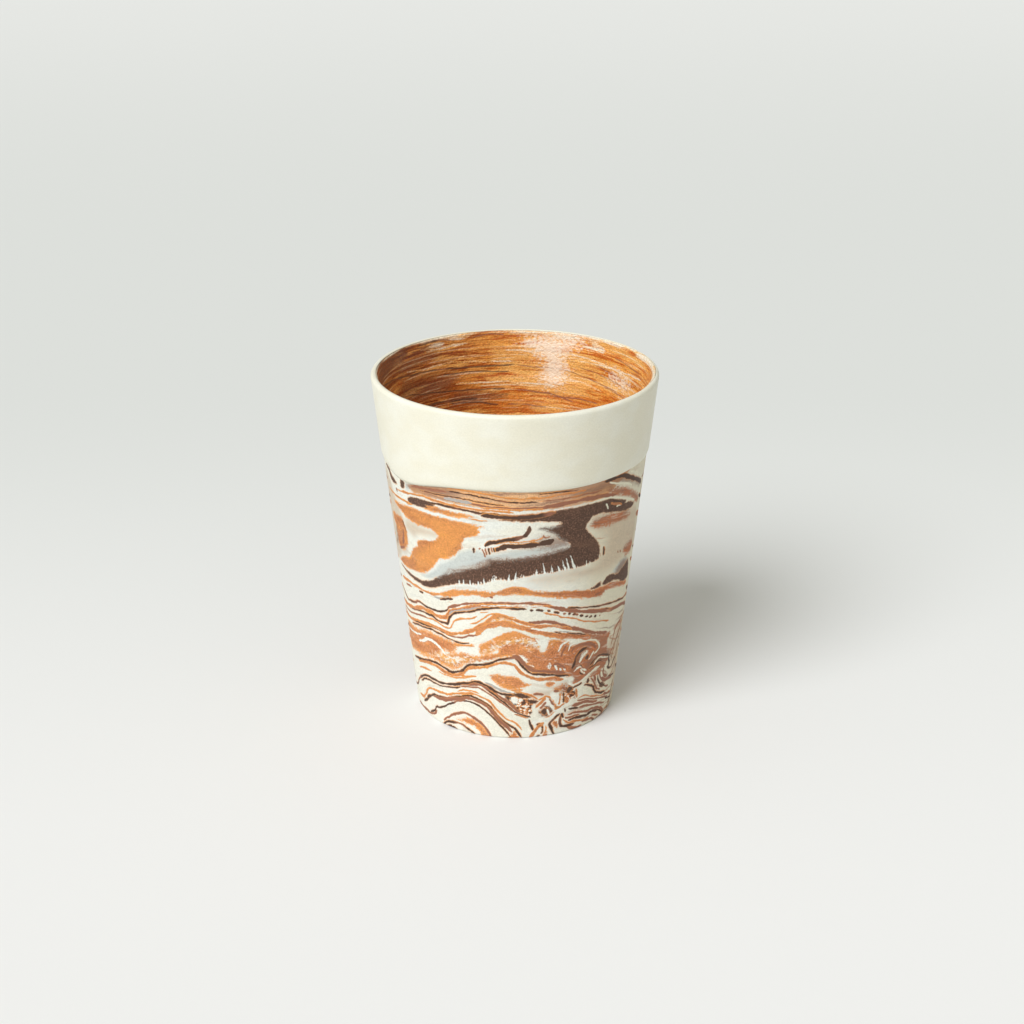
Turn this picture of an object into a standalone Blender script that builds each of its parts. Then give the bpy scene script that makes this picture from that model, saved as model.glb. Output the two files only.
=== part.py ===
"""Ceramic tumbler: a tapered, wheel-thrown cup of marbled clay.

A fired cup is one hard thing made of bonded layers, and each layer is its own solid here:
the turned clay wall with its foot ring, the clay floor set into it, the cream slip coat
round the upper outside and over the lip, and the glaze that lines the inside.

Metres, +Z up, origin at the centre of the foot. The side that shows as the front faces -Y.
"""

import math

import bmesh
import bpy
from mathutils import Vector

# Overall form
HEIGHT = 0.100  # from the foot to the top of the lip, over the slip
RIM_RADIUS = 0.040  # outer radius at the top, over the slip
FOOT_RADIUS = 0.0285  # outer radius of the clay at the foot

# Clay
WALL = 0.0030  # at the foot, square to the wall's face
LIP = 0.0011  # at the top, where the wall is drawn thinner and rounded
FLOOR = 0.0045
FLOOR_RISE = 0.0012  # the recess under the floor, inside the foot ring
FOOT_ROUND = 0.0006  # the foot's rounded outer edge
FILLET = 0.0050  # the rounded inside corner between wall and floor
FLOOR_BEVEL = 0.0004  # the eased edges of the floor disc

# Coats
SLIP = 0.00035
GLAZE = 0.00030
BOND_GAP = 0.00010  # left between two bonded faces, so that neighbours never overlap
SLIP_OVER_LIP = math.radians(118)  # how far the slip reaches over the lip, from the horizontal

# The slip's lower edge, by its depth below the rim and its direction round the cup.
# Directions count from the front (-Y) towards +X.
SLIP_DEPTH = 0.0225
EDGE_SWING = 0.0004
EDGE_SWING_CREST = math.radians(40)
EDGE_RIPPLE = 0.0002
EDGE_RIPPLES_ROUND = 5
EDGE_RIPPLE_CREST = math.radians(-15)
EDGE_DIP = 0.0023  # one place where the slip ran further down
EDGE_DIP_DIRECTION = math.radians(-55)
EDGE_DIP_WIDTH = math.radians(18)

# Facets
TURN_STEPS = 72
LIP_STEPS = 8
FILLET_STEPS = 5
FOOT_STEPS = 3
SLIP_ROWS = 4
MERGE_DISTANCE = 0.00001
SHARP_ANGLE = math.radians(40)

# Lines that follow from the sizes above, in the (radius, height) plane of a turned profile
COAT = SLIP + BOND_GAP
FOOT_POINT = Vector((FOOT_RADIUS, 0.0))
UP = (Vector((RIM_RADIUS - COAT, HEIGHT - COAT)) - FOOT_POINT).normalized()
OUT = Vector((UP.y, -UP.x))
OUT_ANGLE = math.atan2(OUT.y, OUT.x)
IN_ANGLE = OUT_ANGLE + math.pi
DOWN_ANGLE = -math.pi / 2

LIP_RADIUS = LIP / 2
FLOOR_TOP = FLOOR_RISE + FLOOR


def wall_point(height, depth=0.0):
    """The point at this height, this deep inside the clay's outer face; outside it, depth is negative."""
    along = (height + depth * OUT.y) / UP.y
    return FOOT_POINT + UP * along - OUT * depth


def arc(centre, radius, start, end, steps):
    """Points along an arc, both ends included."""
    angles = [start + (end - start) * i / steps for i in range(steps + 1)]
    return [centre + radius * Vector((math.cos(a), math.sin(a))) for a in angles]


LIP_CENTRE = wall_point(HEIGHT - COAT - LIP_RADIUS, LIP_RADIUS)
FILLET_CENTRE = wall_point(FLOOR_TOP + FILLET, WALL + FILLET)
SEAT_RADIUS = FILLET_CENTRE.x  # where the wall's foot ends and the floor disc begins


def clear_scene():
    for obj in list(bpy.data.objects):
        bpy.data.objects.remove(obj)


def collection_for_parts():
    parts = bpy.data.collections.new("ceramic_tumbler")
    bpy.context.scene.collection.children.link(parts)
    return parts


def clay_material(name, colour, roughness):
    material = bpy.data.materials.new(name)
    material.use_nodes = True
    shader = material.node_tree.nodes["Principled BSDF"]
    shader.inputs["Base Color"].default_value = (*colour, 1.0)
    shader.inputs["Roughness"].default_value = roughness
    shader.inputs["Metallic"].default_value = 0.0
    return material


def add_object(parts, name, mesh, material):
    mesh.materials.append(material)
    obj = bpy.data.objects.new(name, mesh)
    parts.objects.link(obj)
    return obj


def add_profile(parts, name, points, closed, material):
    """A profile in the XZ plane, turned about Z. It runs down its outer side."""
    mesh = bpy.data.meshes.new(name)
    edges = [(i, i + 1) for i in range(len(points) - 1)]
    if closed:
        edges.append((len(points) - 1, 0))
    mesh.from_pydata([(p.x, 0.0, p.y) for p in points], edges, [])
    obj = add_object(parts, name, mesh, material)
    screw = obj.modifiers.new("turned", "SCREW")
    screw.axis = "Z"
    screw.steps = TURN_STEPS
    screw.render_steps = TURN_STEPS
    screw.use_merge_vertices = True
    screw.merge_threshold = MERGE_DISTANCE
    return obj


def apply_modifiers(obj):
    """Replaces the object's mesh by what its modifiers make of it."""
    graph = bpy.context.evaluated_depsgraph_get()
    mesh = bpy.data.meshes.new_from_object(obj.evaluated_get(graph))
    obj.modifiers.clear()
    obj.data = mesh


def add_coat(obj, thickness, side):
    """Gives an open surface its thickness: side is 1 along its normals and -1 against them."""
    coat = obj.modifiers.new("coat", "SOLIDIFY")
    coat.thickness = thickness
    coat.offset = side
    coat.use_even_offset = True


def marbled_wall(parts, material):
    """The turned wall, from the lip down to the foot ring and in to the floor's seat."""
    lip = arc(LIP_CENTRE, LIP_RADIUS, IN_ANGLE, OUT_ANGLE, LIP_STEPS)
    foot_centre = wall_point(FOOT_ROUND, FOOT_ROUND)
    foot = arc(foot_centre, FOOT_ROUND, OUT_ANGLE, DOWN_ANGLE, FOOT_STEPS)
    seat = [Vector((SEAT_RADIUS, 0.0))]
    fillet = arc(FILLET_CENTRE, FILLET, DOWN_ANGLE, OUT_ANGLE, FILLET_STEPS)
    return add_profile(parts, "marbled_wall", lip + foot + seat + fillet, True, material)


def floor_disc(parts, material):
    """The clay floor, set up inside the foot ring so that the cup stands on the ring alone."""
    mesh = bpy.data.meshes.new("floor_disc")
    disc = bmesh.new()
    radius = SEAT_RADIUS - BOND_GAP
    bmesh.ops.create_cone(
        disc, cap_ends=True, segments=TURN_STEPS, radius1=radius, radius2=radius, depth=FLOOR
    )
    disc.to_mesh(mesh)
    disc.free()
    mesh.shade_smooth()
    mesh.set_sharp_from_angle(angle=SHARP_ANGLE)
    obj = add_object(parts, "floor_disc", mesh, material)
    obj.location.z = FLOOR_RISE + FLOOR / 2
    bevel = obj.modifiers.new("eased edges", "BEVEL")
    bevel.width = FLOOR_BEVEL
    bevel.segments = 2
    return obj


def slip_edge_height(direction):
    """Height of the slip's lower edge in this direction from the front."""
    swing = EDGE_SWING * math.cos(direction - EDGE_SWING_CREST)
    ripple = EDGE_RIPPLE * math.cos(EDGE_RIPPLES_ROUND * (direction - EDGE_RIPPLE_CREST))
    off_dip = (direction - EDGE_DIP_DIRECTION) / EDGE_DIP_WIDTH
    dip = EDGE_DIP * math.exp(-off_dip * off_dip)
    return HEIGHT - SLIP_DEPTH + swing + ripple - dip


def let_slip_run(mesh, top):
    """Draws the turned band's rows below the lip down to the wavy lower edge."""
    level_edge = HEIGHT - SLIP_DEPTH
    for vertex in mesh.vertices:
        if vertex.co.z > top:
            continue
        direction = math.atan2(vertex.co.x, -vertex.co.y)
        share = (top - vertex.co.z) / (top - level_edge)
        height = top + share * (slip_edge_height(direction) - top)
        point = wall_point(height, -BOND_GAP)
        vertex.co = (point.x * math.sin(direction), -point.x * math.cos(direction), point.y)


def cream_slip(parts, material):
    """The slip coat: over the lip and down the outside, to an edge that runs where it will."""
    over_lip = arc(LIP_CENTRE, LIP_RADIUS + BOND_GAP, SLIP_OVER_LIP, OUT_ANGLE, LIP_STEPS)
    top = over_lip[-1].y
    level_edge = HEIGHT - SLIP_DEPTH
    heights = [top + (level_edge - top) * row / SLIP_ROWS for row in range(1, SLIP_ROWS + 1)]
    down_wall = [wall_point(height, -BOND_GAP) for height in heights]
    obj = add_profile(parts, "cream_slip", over_lip + down_wall, False, material)
    apply_modifiers(obj)
    let_slip_run(obj.data, top)
    add_coat(obj, SLIP, 1)
    return obj


def inner_glaze(parts, material):
    """The glaze lining: from the slip's edge on the lip, down the inside and over the floor."""
    lip_radius = LIP_RADIUS + BOND_GAP
    start = SLIP_OVER_LIP + BOND_GAP / lip_radius
    over_lip = arc(LIP_CENTRE, lip_radius, start, IN_ANGLE, LIP_STEPS // 2)
    fillet = arc(FILLET_CENTRE, FILLET - BOND_GAP, OUT_ANGLE, DOWN_ANGLE, FILLET_STEPS)
    middle = [Vector((0.0, FLOOR_TOP + BOND_GAP))]
    obj = add_profile(parts, "inner_glaze", over_lip + fillet + middle, False, material)
    add_coat(obj, GLAZE, -1)
    return obj


def build():
    clear_scene()
    parts = collection_for_parts()
    marbled_wall(parts, clay_material("marbled clay", (0.52, 0.31, 0.19), 0.60))
    floor_disc(parts, clay_material("floor clay", (0.50, 0.33, 0.22), 0.65))
    cream_slip(parts, clay_material("cream slip", (0.83, 0.80, 0.68), 0.55))
    inner_glaze(parts, clay_material("glaze over clay", (0.45, 0.18, 0.05), 0.15))


build()
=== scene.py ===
"""The looks of a tapered marbled-clay tumbler: clay, slip, glaze, and a pale studio round it."""

import math
from collections import namedtuple

import bpy
import numpy as np
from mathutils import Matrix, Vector, noise


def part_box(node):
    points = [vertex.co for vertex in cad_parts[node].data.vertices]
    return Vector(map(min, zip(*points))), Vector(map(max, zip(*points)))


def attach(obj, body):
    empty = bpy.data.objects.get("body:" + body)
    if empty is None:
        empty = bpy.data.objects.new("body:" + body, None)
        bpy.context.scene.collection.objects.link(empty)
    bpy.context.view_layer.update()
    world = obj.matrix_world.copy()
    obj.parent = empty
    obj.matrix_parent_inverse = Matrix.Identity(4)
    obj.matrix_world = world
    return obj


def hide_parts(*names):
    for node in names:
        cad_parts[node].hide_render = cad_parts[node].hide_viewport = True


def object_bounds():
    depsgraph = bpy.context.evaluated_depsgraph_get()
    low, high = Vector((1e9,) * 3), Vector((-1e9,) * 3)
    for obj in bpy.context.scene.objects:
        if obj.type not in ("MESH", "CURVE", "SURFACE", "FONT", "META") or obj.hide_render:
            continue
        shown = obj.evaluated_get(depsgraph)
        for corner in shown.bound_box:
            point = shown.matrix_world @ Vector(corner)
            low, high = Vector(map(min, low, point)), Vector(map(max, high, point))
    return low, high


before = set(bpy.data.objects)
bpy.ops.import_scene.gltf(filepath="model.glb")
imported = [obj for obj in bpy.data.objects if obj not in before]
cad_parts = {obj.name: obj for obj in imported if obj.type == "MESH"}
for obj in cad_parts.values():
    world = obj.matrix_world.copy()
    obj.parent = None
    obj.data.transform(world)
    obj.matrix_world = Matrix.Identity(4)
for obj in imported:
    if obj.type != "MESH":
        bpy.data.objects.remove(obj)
CAD_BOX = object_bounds()

# The cup's sizes, in metres, as the solids have them
HEIGHT = CAD_BOX[1].z
RIM_RADIUS = 0.040
FOOT_RADIUS = 0.0285
WALL = 0.0030
LIP = 0.0011
FLOOR_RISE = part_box("floor_disc")[0].z
FLOOR_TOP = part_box("floor_disc")[1].z
FOOT_ROUND = 0.0006
FILLET = 0.0050
SLIP = 0.00035
GLAZE = 0.00030
BOND_GAP = 0.00010
SLIP_OVER_LIP = math.radians(118)
SLIP_DEPTH = 0.0225
FLOOR_EASE = 0.0004
# The slip's lower edge: a swing round the cup, ripples, and one place where it ran further down
EDGE_SWING = 0.0004
EDGE_SWING_CREST = math.radians(40)
EDGE_RIPPLE = 0.0002
EDGE_RIPPLES_ROUND = 5
EDGE_RIPPLE_CREST = math.radians(-15)
EDGE_DIP = 0.0023
EDGE_DIP_DIRECTION = math.radians(-55)
EDGE_DIP_WIDTH = math.radians(18)

MM = 0.001
COAT = SLIP + BOND_GAP
LIP_RADIUS = LIP / 2
FOOT_POINT = Vector((FOOT_RADIUS, 0.0))
UP = (Vector((RIM_RADIUS - COAT, HEIGHT - COAT)) - FOOT_POINT).normalized()
OUT = Vector((UP.y, -UP.x))
OUT_ANGLE = math.atan2(OUT.y, OUT.x)
IN_ANGLE = OUT_ANGLE + math.pi
DOWN_ANGLE = -math.pi / 2

# Columns round the cup, crowded towards the front, the spacing of rows, and the steps of round stretches
COLUMNS = 330
FRONT_CROWDING = 0.55
FINE_ROW = 0.00034
GLAZE_ROW = 0.0005
UNDERSIDE_ROW = 0.0006
EDGE_ROW = 0.0006
COAT_ROW = 0.0010
DEEP_ROW = 0.0014
FLOOR_ROW = 0.0015
HIDDEN_ROW = 0.0040
LIP_STEPS = 10
COAT_LIP_STEPS = 12
GLAZE_LIP_STEPS = 8
FOOT_STEPS = 4
FILLET_STEPS = 6
GLAZE_FILLET_STEPS = 10
EASE_STEPS = 3
# Depth and pitch of the shallow ridges that fingers leave
WALL_RIDGES = (0.00004, 0.0015)
SLIP_RIDGES = (0.00004, 0.003)
GLAZE_RIDGES = (0.0008, 0.0040)
FLOOR_RIDGES = (0.0, 0.002)
# How often ridges change in a metre round the cup, and the height over which they fade out below the lip
RIDGE_RATE = 8.0
RIDGE_FADE = 0.004
MERGE_DISTANCE = 0.000001

# Colours of the fired clays and of the coats over them
CREAM_CLAY = (0.81, 0.79, 0.67)
PALE_CLAY = (0.85, 0.84, 0.74)
COOL_CLAY = (0.78, 0.80, 0.74)
GREY_CLAY = (0.53, 0.57, 0.54)
ASH_CLAY = (0.44, 0.41, 0.37)
BLUSH_CLAY = (0.57, 0.44, 0.31)
OCHRE_CLAY = (0.62, 0.250, 0.095)
TERRACOTTA = (0.49, 0.165, 0.066)
DEEP_OCHRE = (0.46, 0.150, 0.052)
AMBER_CLAY = (0.83, 0.350, 0.085)
BROWN_CLAY = (0.40, 0.175, 0.095)
UMBER_CLAY = (0.24, 0.125, 0.080)
DARK_CLAY = (0.090, 0.048, 0.031)
RUSSET_CLAY = (0.32, 0.135, 0.080)
# Cream and pale clays with painted shade, for the right-hand side of the cup
SHADED_CREAM = (0.75, 0.70, 0.54)
SHADED_PALE = (0.78, 0.74, 0.58)
# Amber with painted shade, for the right-hand side of the cup
DULL_AMBER = (0.68, 0.27, 0.085)
GILT_CLAY = (0.84, 0.47, 0.16)
DRAWN_PALE = (0.66, 0.48, 0.36)
RUSSET_PALE = (0.66, 0.50, 0.38)
DARK_SHARD = (0.11, 0.055, 0.034)
DARK_CLOUD = (0.13, 0.070, 0.045)
DARK_GRAIN = (0.26, 0.135, 0.085)
LENS_TAN = (0.56, 0.335, 0.205)
LENS_OCHRE = (0.68, 0.36, 0.165)
LENS_BRIGHT = (0.82, 0.52, 0.28)
LENS_DARK = (0.36, 0.20, 0.125)
LENS_PALE = (0.72, 0.56, 0.38)
CREAM_SLIP = (0.805, 0.775, 0.63)
PALE_SLIP = (0.83, 0.815, 0.695)

Stroke = namedtuple("Stroke", "clay half_width path pointed", defaults=(False,))
Patch = namedtuple("Patch", "clay outline soft", defaults=(1.0,))

# The marbling as it shows from the front. Each place is a direction in degrees, from the front
# towards +X, and then a height in millimetres. Half-widths are in millimetres too.
PATCHES = [
    # the big ochre tongue at the upper left, and the swirl beside it
    Patch("ochre", (
        -68, 66.5, -60, 67.2, -50, 68, -38, 68.3, -30, 68.3, -22, 67.9, -18, 67.6, -12.5, 67.2,
        -16, 66.6, -15, 65.6, -17, 64.4, -21, 63.4, -24, 61, -23, 60.2, -26, 58.6, -28, 57.2, -32, 56,
        -36, 55, -39, 53, -43, 50.3, -49, 48.3, -56, 47.6, -66, 47, -72, 47.4, -66, 49.8, -60, 50.7,
        -57, 51.7, -53.5, 55, -50, 56.3, -49.5, 58, -45, 59.6, -38, 60.5, -35.5, 62.2, -39, 63.4,
        -52, 63.5, -60, 64.8,
    ), 1.3),
    Patch("ochre", (
        -74, 61.5, -67, 62.3, -60, 62.5, -57, 58.5, -57.5, 56, -59.5, 54, -64, 52, -70, 52.6, -70, 58,
        -73, 59.6,
    ), 1.6),
    Patch("ochre", (
        -42, 70.8, -34, 71.1, -26, 70.8, -19, 70.3, -17, 69.8, -22, 69.3, -30, 69.2, -42, 69.2,
    ), 1.5),
    # the long ochre band under the dark clay
    Patch("ochre", (
        -47, 43.1, -42.6, 43.5, -38, 44, -34, 45.5, -30.6, 46.2, -28, 46.7, -24.6, 47, -18.5, 47.4,
        -9, 47.6, -6, 48.5, -3.4, 49.1, -0.6, 49.5, 2.1, 49.5, 5.8, 48.7, 10, 47.9, 20, 47.1, 30, 46.3,
        40, 45, 50, 44.6, 55, 44.5, 60, 43.6, 74, 40.6, 70, 40, 60, 42, 50, 43, 47, 41.8, 40, 42.4,
        30, 43.8, 20, 45.1, 10, 46.2, 5.8, 46.7, 1, 46.9, -3.4, 46.6, -8, 46.5, -11, 45.8, -13.4, 45.5,
        -17, 46, -19.6, 45.9, -22, 45.5, -26.4, 45.1, -28, 44.4, -31.5, 43.8, -35, 43.2, -37.5, 43.5,
        -40, 43.2, -44, 42.9,
    ), 1.3),
    Patch("amber", (-38, 44.4, -33, 46, -24, 47, -15, 47.2, -10, 46.6, -20, 45.6, -30, 44), 1.5),
    # ochre folds of the middle, from the left
    Patch("ochre", (
        -78, 27.6, -66, 27.8, -58, 28.8, -50, 30, -42, 30, -35, 29.6, -25, 29.6, -21, 29.8, -24, 29,
        -30, 28.4, -31.5, 27, -33, 25.8, -35, 25.5, -38, 26, -41, 24.8, -42, 23.8, -45, 22.4, -50, 21.6,
        -57, 20.8, -66, 19.8, -78, 18.8,
    ), 2.2),
    Patch("ochre", (
        -58, 20.4, -50, 21.2, -44, 21.2, -36, 20.4, -31, 20.8, -26, 23.1, -20, 24.4, -16, 25, -18, 25.8,
        -22, 26.6, -26, 27, -30, 26.2, -35, 25.4, -40, 24.6, -46, 23,
    ), 2),
    Patch("ochre", (
        -17.6, 27.6, -17.6, 29.7, -15.8, 30.8, -12.6, 31.9, -9.5, 33.1, -6.5, 34.5, -3.6, 35.2,
        -0.6, 35.4, 2.2, 35.2, 6, 34.2, 10.2, 33, 13, 32.2, 14, 30, 10, 29.4, 4, 30, -2, 31, -7, 30,
        -11, 28.4, -14.6, 27.2,
    ), 1.3),
    Patch("gold", (
        -16.8, 27.8, -11.8, 29.9, -8.6, 31, -5.6, 31.9, -0.8, 32.9, 6, 32.8, 11, 31.8, 16, 29.6,
        12, 29.6, 6, 31, 0, 31.7, -5, 30.8, -10, 29.2, -15, 27.6,
    )),
    Patch("ochre", (-12.6, 37.6, -11, 38.9, -8, 39.6, -4, 39.2, 0, 38.4, 2, 37.4, -6, 38, -10, 37.6), 1.6),
    Patch("gold", (-12.6, 38, -8, 39.4, -2, 38.6, -6, 38.2), 1.2),
    Patch("white", (10.8, 32.4, 13.4, 32.2, 16.6, 31.6, 16.6, 29.8, 14.2, 29.5, 12, 30.9), 1.2),
    Patch("gold", (
        -52, 22.6, -44, 23, -36, 21.4, -28, 23.4, -20, 25.4, -26, 25.8, -34, 24.6, -42, 24.4,
    ), 1.6),
    Patch("ochre", (
        -23, 26.8, -18, 26.6, -13, 27.6, -8, 28.2, -8, 30.2, -6, 31.5, -2, 31.8, 2, 31.2, 5, 29.8,
        9, 29.4, 12, 30.2, 13, 28.8, 15, 28, 16, 28.8, 16.6, 31.4, 20, 31.6, 24, 31.2, 27, 30.6, 30, 29,
        34, 28.6, 40, 29, 48, 27, 49, 25.5, 46, 22.5, 42, 20.6, 36, 19.4, 30, 18.4, 24, 19.8, 15, 21,
        10, 21.5, 6, 23, 3, 25, 1, 26.9, -3, 27.3, -8, 26.7, -11, 26, -15, 25.5, -20, 26,
    ), 1.4),
    Patch("ochre", (
        -13.4, 20.6, -8.6, 21.2, -5, 21, -1.2, 20.8, 2.4, 20.3, 5, 18.9, 8.6, 17.7, 6, 17.2, 2.4, 16.8,
        -1.4, 16.5, -5, 16.7, -8, 17.6, -10.8, 19.1,
    ), 1.4),
    Patch("amber", (-10, 18, -4, 18.2, 0, 17.4, 0, 16.2, -6, 16.4)),
    Patch("blush", (9, 15.4, 14, 15.6, 20, 15.4, 20, 13.8, 12, 13.6)),
    Patch("blush", (22, 16, 28, 16.8, 30, 15, 26, 13.6, 22, 14)),
    Patch("ochre", (16.4, 17.6, 18, 18.4, 20, 18.3, 22.4, 17.5, 20, 16.7, 18, 16.8), 1.3),
    Patch("white", (19.9, 14.3, 23.4, 14.3, 25.2, 12.8, 22.4, 12, 20.2, 12.9), 1.2),
    Patch("ochre", (21.5, 15.6, 26, 16.6, 29, 16.2, 27.6, 14.6, 24, 14.6), 1.8),
    Patch("ochre", (
        -35, 3.8, -28, 5.3, -24, 5.4, -20, 4.4, -17, 3, -12, -1, -18, -1, -20, 1.5, -23, 2.8, -31, 3.7,
    ), 1.6),
    Patch("ochre", (-4, 0.4, -1, 2.4, 0.6, 2.8, 2.6, 1.2, 4.4, -0.5, -5, -0.8), 1.5),
    # browner folds at the right
    Patch("brown", (
        38, 31.9, 43, 30.6, 48, 29.4, 53, 28.5, 57.5, 28.3, 59.4, 27.6, 57.6, 26.4, 57, 25, 57.6, 23.8,
        58, 22, 60, 20.6, 60.6, 18.4, 56, 17, 50, 17.4, 46, 16.8, 42, 16.6, 38, 16, 34, 15.8, 33, 16.4,
        33.2, 18, 31, 18.6, 30, 20, 33, 21, 36, 22, 40, 22.4, 44, 23, 47, 24, 48.2, 25.6, 47, 27.4,
        43, 28.8, 39, 30.4,
    ), 1.5),
    Patch("brown", (44, 16.4, 48, 17.2, 53, 17.2, 54, 15.6, 51, 15.4, 48, 15.6), 1.5),
    Patch("brown", (31.4, 14, 33.6, 13.6, 34.8, 12.4, 35.6, 10.8, 34, 11, 32.4, 12.4)),
    Patch("brown", (28.8, 12.5, 30.2, 12.2, 30.4, 11, 31.4, 10.2, 30, 9.9, 29.4, 11)),
    Patch("umber", (31, 20.4, 32, 23, 34, 25.6, 38, 27.2, 42, 27, 38.6, 24.8, 35.6, 22.4, 33.4, 20.2), 1.2),
    Patch("umber", (41, 20, 46, 22.4, 52, 22.6, 58, 21.6, 63, 19.8, 60, 19, 52, 19.4, 46, 19.2), 1.5),
    Patch("umber", (14, 7.4, 14.6, 9, 18, 9.8, 20, 9.4, 20.2, 7.6, 17, 7)),
    Patch("umber", (26.4, 13.8, 26.6, 15.8, 28.4, 16, 30, 15.4, 29, 14)),
    Patch("brown", (61.5, 53.6, 66, 54.4, 72, 54, 78, 52, 76, 50.6, 68, 50.4, 63.5, 51.6), 2.4),
    Patch("brown", (
        43, 75, 48, 74.6, 54, 73.8, 60, 72.2, 68, 69.2, 78, 65.4, 75, 64.4, 66, 67.6, 58, 70.2, 52, 71.6,
        46, 72.8,
    ), 2),
    Patch("ochre", (20.4, 12.8, 22, 12, 23, 10.6, 25, 9.8, 28.6, 9.9, 26, 9, 22.6, 8.6, 22, 10)),
    Patch("ochre", (18.2, 4.2, 18.8, 2.4, 19.6, -0.5, 16, -0.5, 16.6, 1.4, 17.4, 2.6)),
    Patch("ochre", (21.5, 4.4, 23, 4.9, 24.8, 4.6, 25.2, 3.4, 25.4, 2.1, 24, 2.6, 22.5, 3.2)),
    Patch("ochre", (32, 13.6, 33.5, 13.6, 34.8, 12.6, 34.8, 11.2, 33.5, 11.6, 32, 12.5)),
    # the streaked lens under the slip
    Patch("smear", (
        -52, 74.2, -48, 75.6, -40, 76.6, -30, 78, -15, 79, 0, 79, 20, 79, 45, 79, 60, 79, 50, 75.6,
        46, 74, 42, 72.9, 30, 72.6, 20, 72.5, 0, 72.8, -20, 73.1, -30, 73.3, -40, 73.4, -48, 73,
    )),
    # the dark clay, with its trunk at the right and its long tail to the left
    Patch("dark", (
        -10, 71.2, 0, 71.3, 10, 71.6, 20, 72, 30, 72, 44, 72, 48, 71.3, 53, 70.2, 58, 68.9, 57, 68.2,
        60, 67.9, 64, 67.2, 68, 66.1, 64, 65.6, 56, 66.1, 49, 67.3, 42, 68.3, 36.5, 68.3, 34, 66.8,
        33, 65.2, 35, 63.4, 38, 61.4, 41.3, 58.9, 42.5, 56, 42.7, 54.6, 40, 53.9, 33, 53.6, 29, 53.4,
        25, 53.6, 17, 53.2, 9, 53, 3, 52.3, -0.5, 51.5, -8, 51.6, -14, 50, -20, 49.2, -25, 49, -35, 47,
        -45, 44.7, -58, 44.8, -71, 46.2, -58, 45.8, -50, 45.7, -45, 46.7, -40, 48.4, -34, 50.9,
        -25, 52.8, -20, 54, -12, 55.8, -10, 57.2, 0, 57.8, 9, 58.2, 16, 59.2, 24, 60.1, 25.8, 61, 25, 62,
        20, 63.2, 17.5, 65.2, 12, 66.6, 11, 67, 20, 67.5, 21.5, 68, 14, 69, 2, 69.4, -6, 69.6, -6, 70,
        0, 70.2, 0, 70.7, -6, 70.9,
    )),
    Patch("dark", (
        -52.5, 70.8, -46, 71.7, -41, 72, -36, 71.7, -38, 70.8, -42, 70.4, -40, 69.7, -46, 69.4,
        -52.3, 69.3,
    )),
    Patch("dark", (38.8, 45.4, 42, 46, 45, 46.4, 45.7, 45.4, 44, 44.9, 41, 45.1)),
    Patch("dark", (
        46.8, 45.8, 49, 47, 51, 47.5, 54, 47.2, 57, 46.4, 60, 46.2, 64, 47.2, 70, 48, 72, 46.6, 74, 44,
        77, 41.4, 73, 41.6, 68, 42, 64, 42.8, 60, 44.2, 56, 44.9, 48, 45,
    )),
    Patch("dark", (
        -76, 75.8, -72, 76.2, -68, 75.7, -66, 74.4, -62, 73.3, -61, 72.8, -65, 72.2, -68, 73, -70, 74.8,
    )),
    Patch("dark", (-57.6, 72.8, -57, 74.8, -55.5, 75.4, -54.2, 74.8, -54.8, 73, -56.5, 72.6)),
    Patch("dark", (-43, 0.4, -39, 1.2, -35, 0.6, -36, -1, -43, -1)),
    Patch("crackle", (
        -5, 14.6, -0.2, 15.3, 7, 14.9, 9.4, 13.7, 12.8, 12.6, 12.4, 11.4, 9.6, 10.8, 9.8, 9.4, 9, 8,
        4, 8.4, 0.2, 10.2, -3, 12.4,
    )),
    Patch("crackle", (13.6, 8, 14.2, 9.8, 18.4, 10.4, 20.6, 9, 22, 7.6, 18, 6.8)),
    Patch("crackle", (26.4, 13.4, 26.6, 16, 30, 16.2, 33.6, 15, 35.4, 12, 33, 11, 29, 10, 27, 11)),
    Patch("dark", (-0.6, 15, 2.9, 15.3, 7.2, 14.7, 7.5, 13.5, 4, 13.7, 1.2, 14.2)),
    Patch("dark", (7.2, 13.1, 10.5, 12.9, 12.8, 12.3, 11.6, 11.7, 8.4, 11.9)),
    Patch("white", (-1.9, 13.6, 0.6, 13.9, 2.2, 13.1, 1.8, 11.9, -0.8, 11.9)),
    Patch("dark", (14.8, 8.2, 15.4, 9.2, 17.4, 9.7, 18.2, 8.8, 17, 7.6)),
    Patch("dark", (29, 14.2, 30.5, 15.2, 32, 15.4, 33.4, 14.6, 32, 13.8, 30.5, 13.1, 29.3, 13.4)),
    Patch("dark", (12, -0.5, 13, 1, 14, 0.9, 14.6, -0.5)),
    Patch("dark", (39.6, 23, 41, 24.1, 42.4, 23.6, 41.4, 22.5)),
    Patch("dark", (54, 11.9, 56, 12.2, 59, 11.4, 60.4, 10.5, 57.6, 10.1, 55.2, 10.8)),
    # grey clay drawn along the dark clay's edges
    Patch("grey", (
        -50, 47.5, -44, 49.4, -40, 51, -36, 53.6, -32, 55, -28, 56.5, -25, 58.6, -20, 60, -16, 60,
        -10, 59, 0, 60.6, 8, 61, 14, 61.4, 23, 62, 23, 60.6, 14, 59.5, 5, 58.4, -8, 58, -14, 56, -22, 54,
        -30, 52, -42, 47.8,
    )),
    Patch("grey", (53, 47.8, 56, 49, 60, 50, 64, 50, 68, 49.2, 66, 48.2, 60, 47.2, 56, 47.2)),
    Patch("grey", (-8, 70.2, 0, 70.6, -2, 69.9)),
    Patch("grey", (-54, 73, -53, 74.8, -50.5, 74.2, -51.5, 73)),
    # white left in the folds
    Patch("white", (-29, 27.4, -28.4, 28.4, -24, 29, -19.4, 28.8, -19.4, 27.6, -24, 27.2), 1.6),
    Patch("amber", (-12, 33.6, -6, 35.4, 0, 35.6, 8, 33.4, 10, 32.2, 4, 32, -4, 32.2, -10, 31)),
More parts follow.
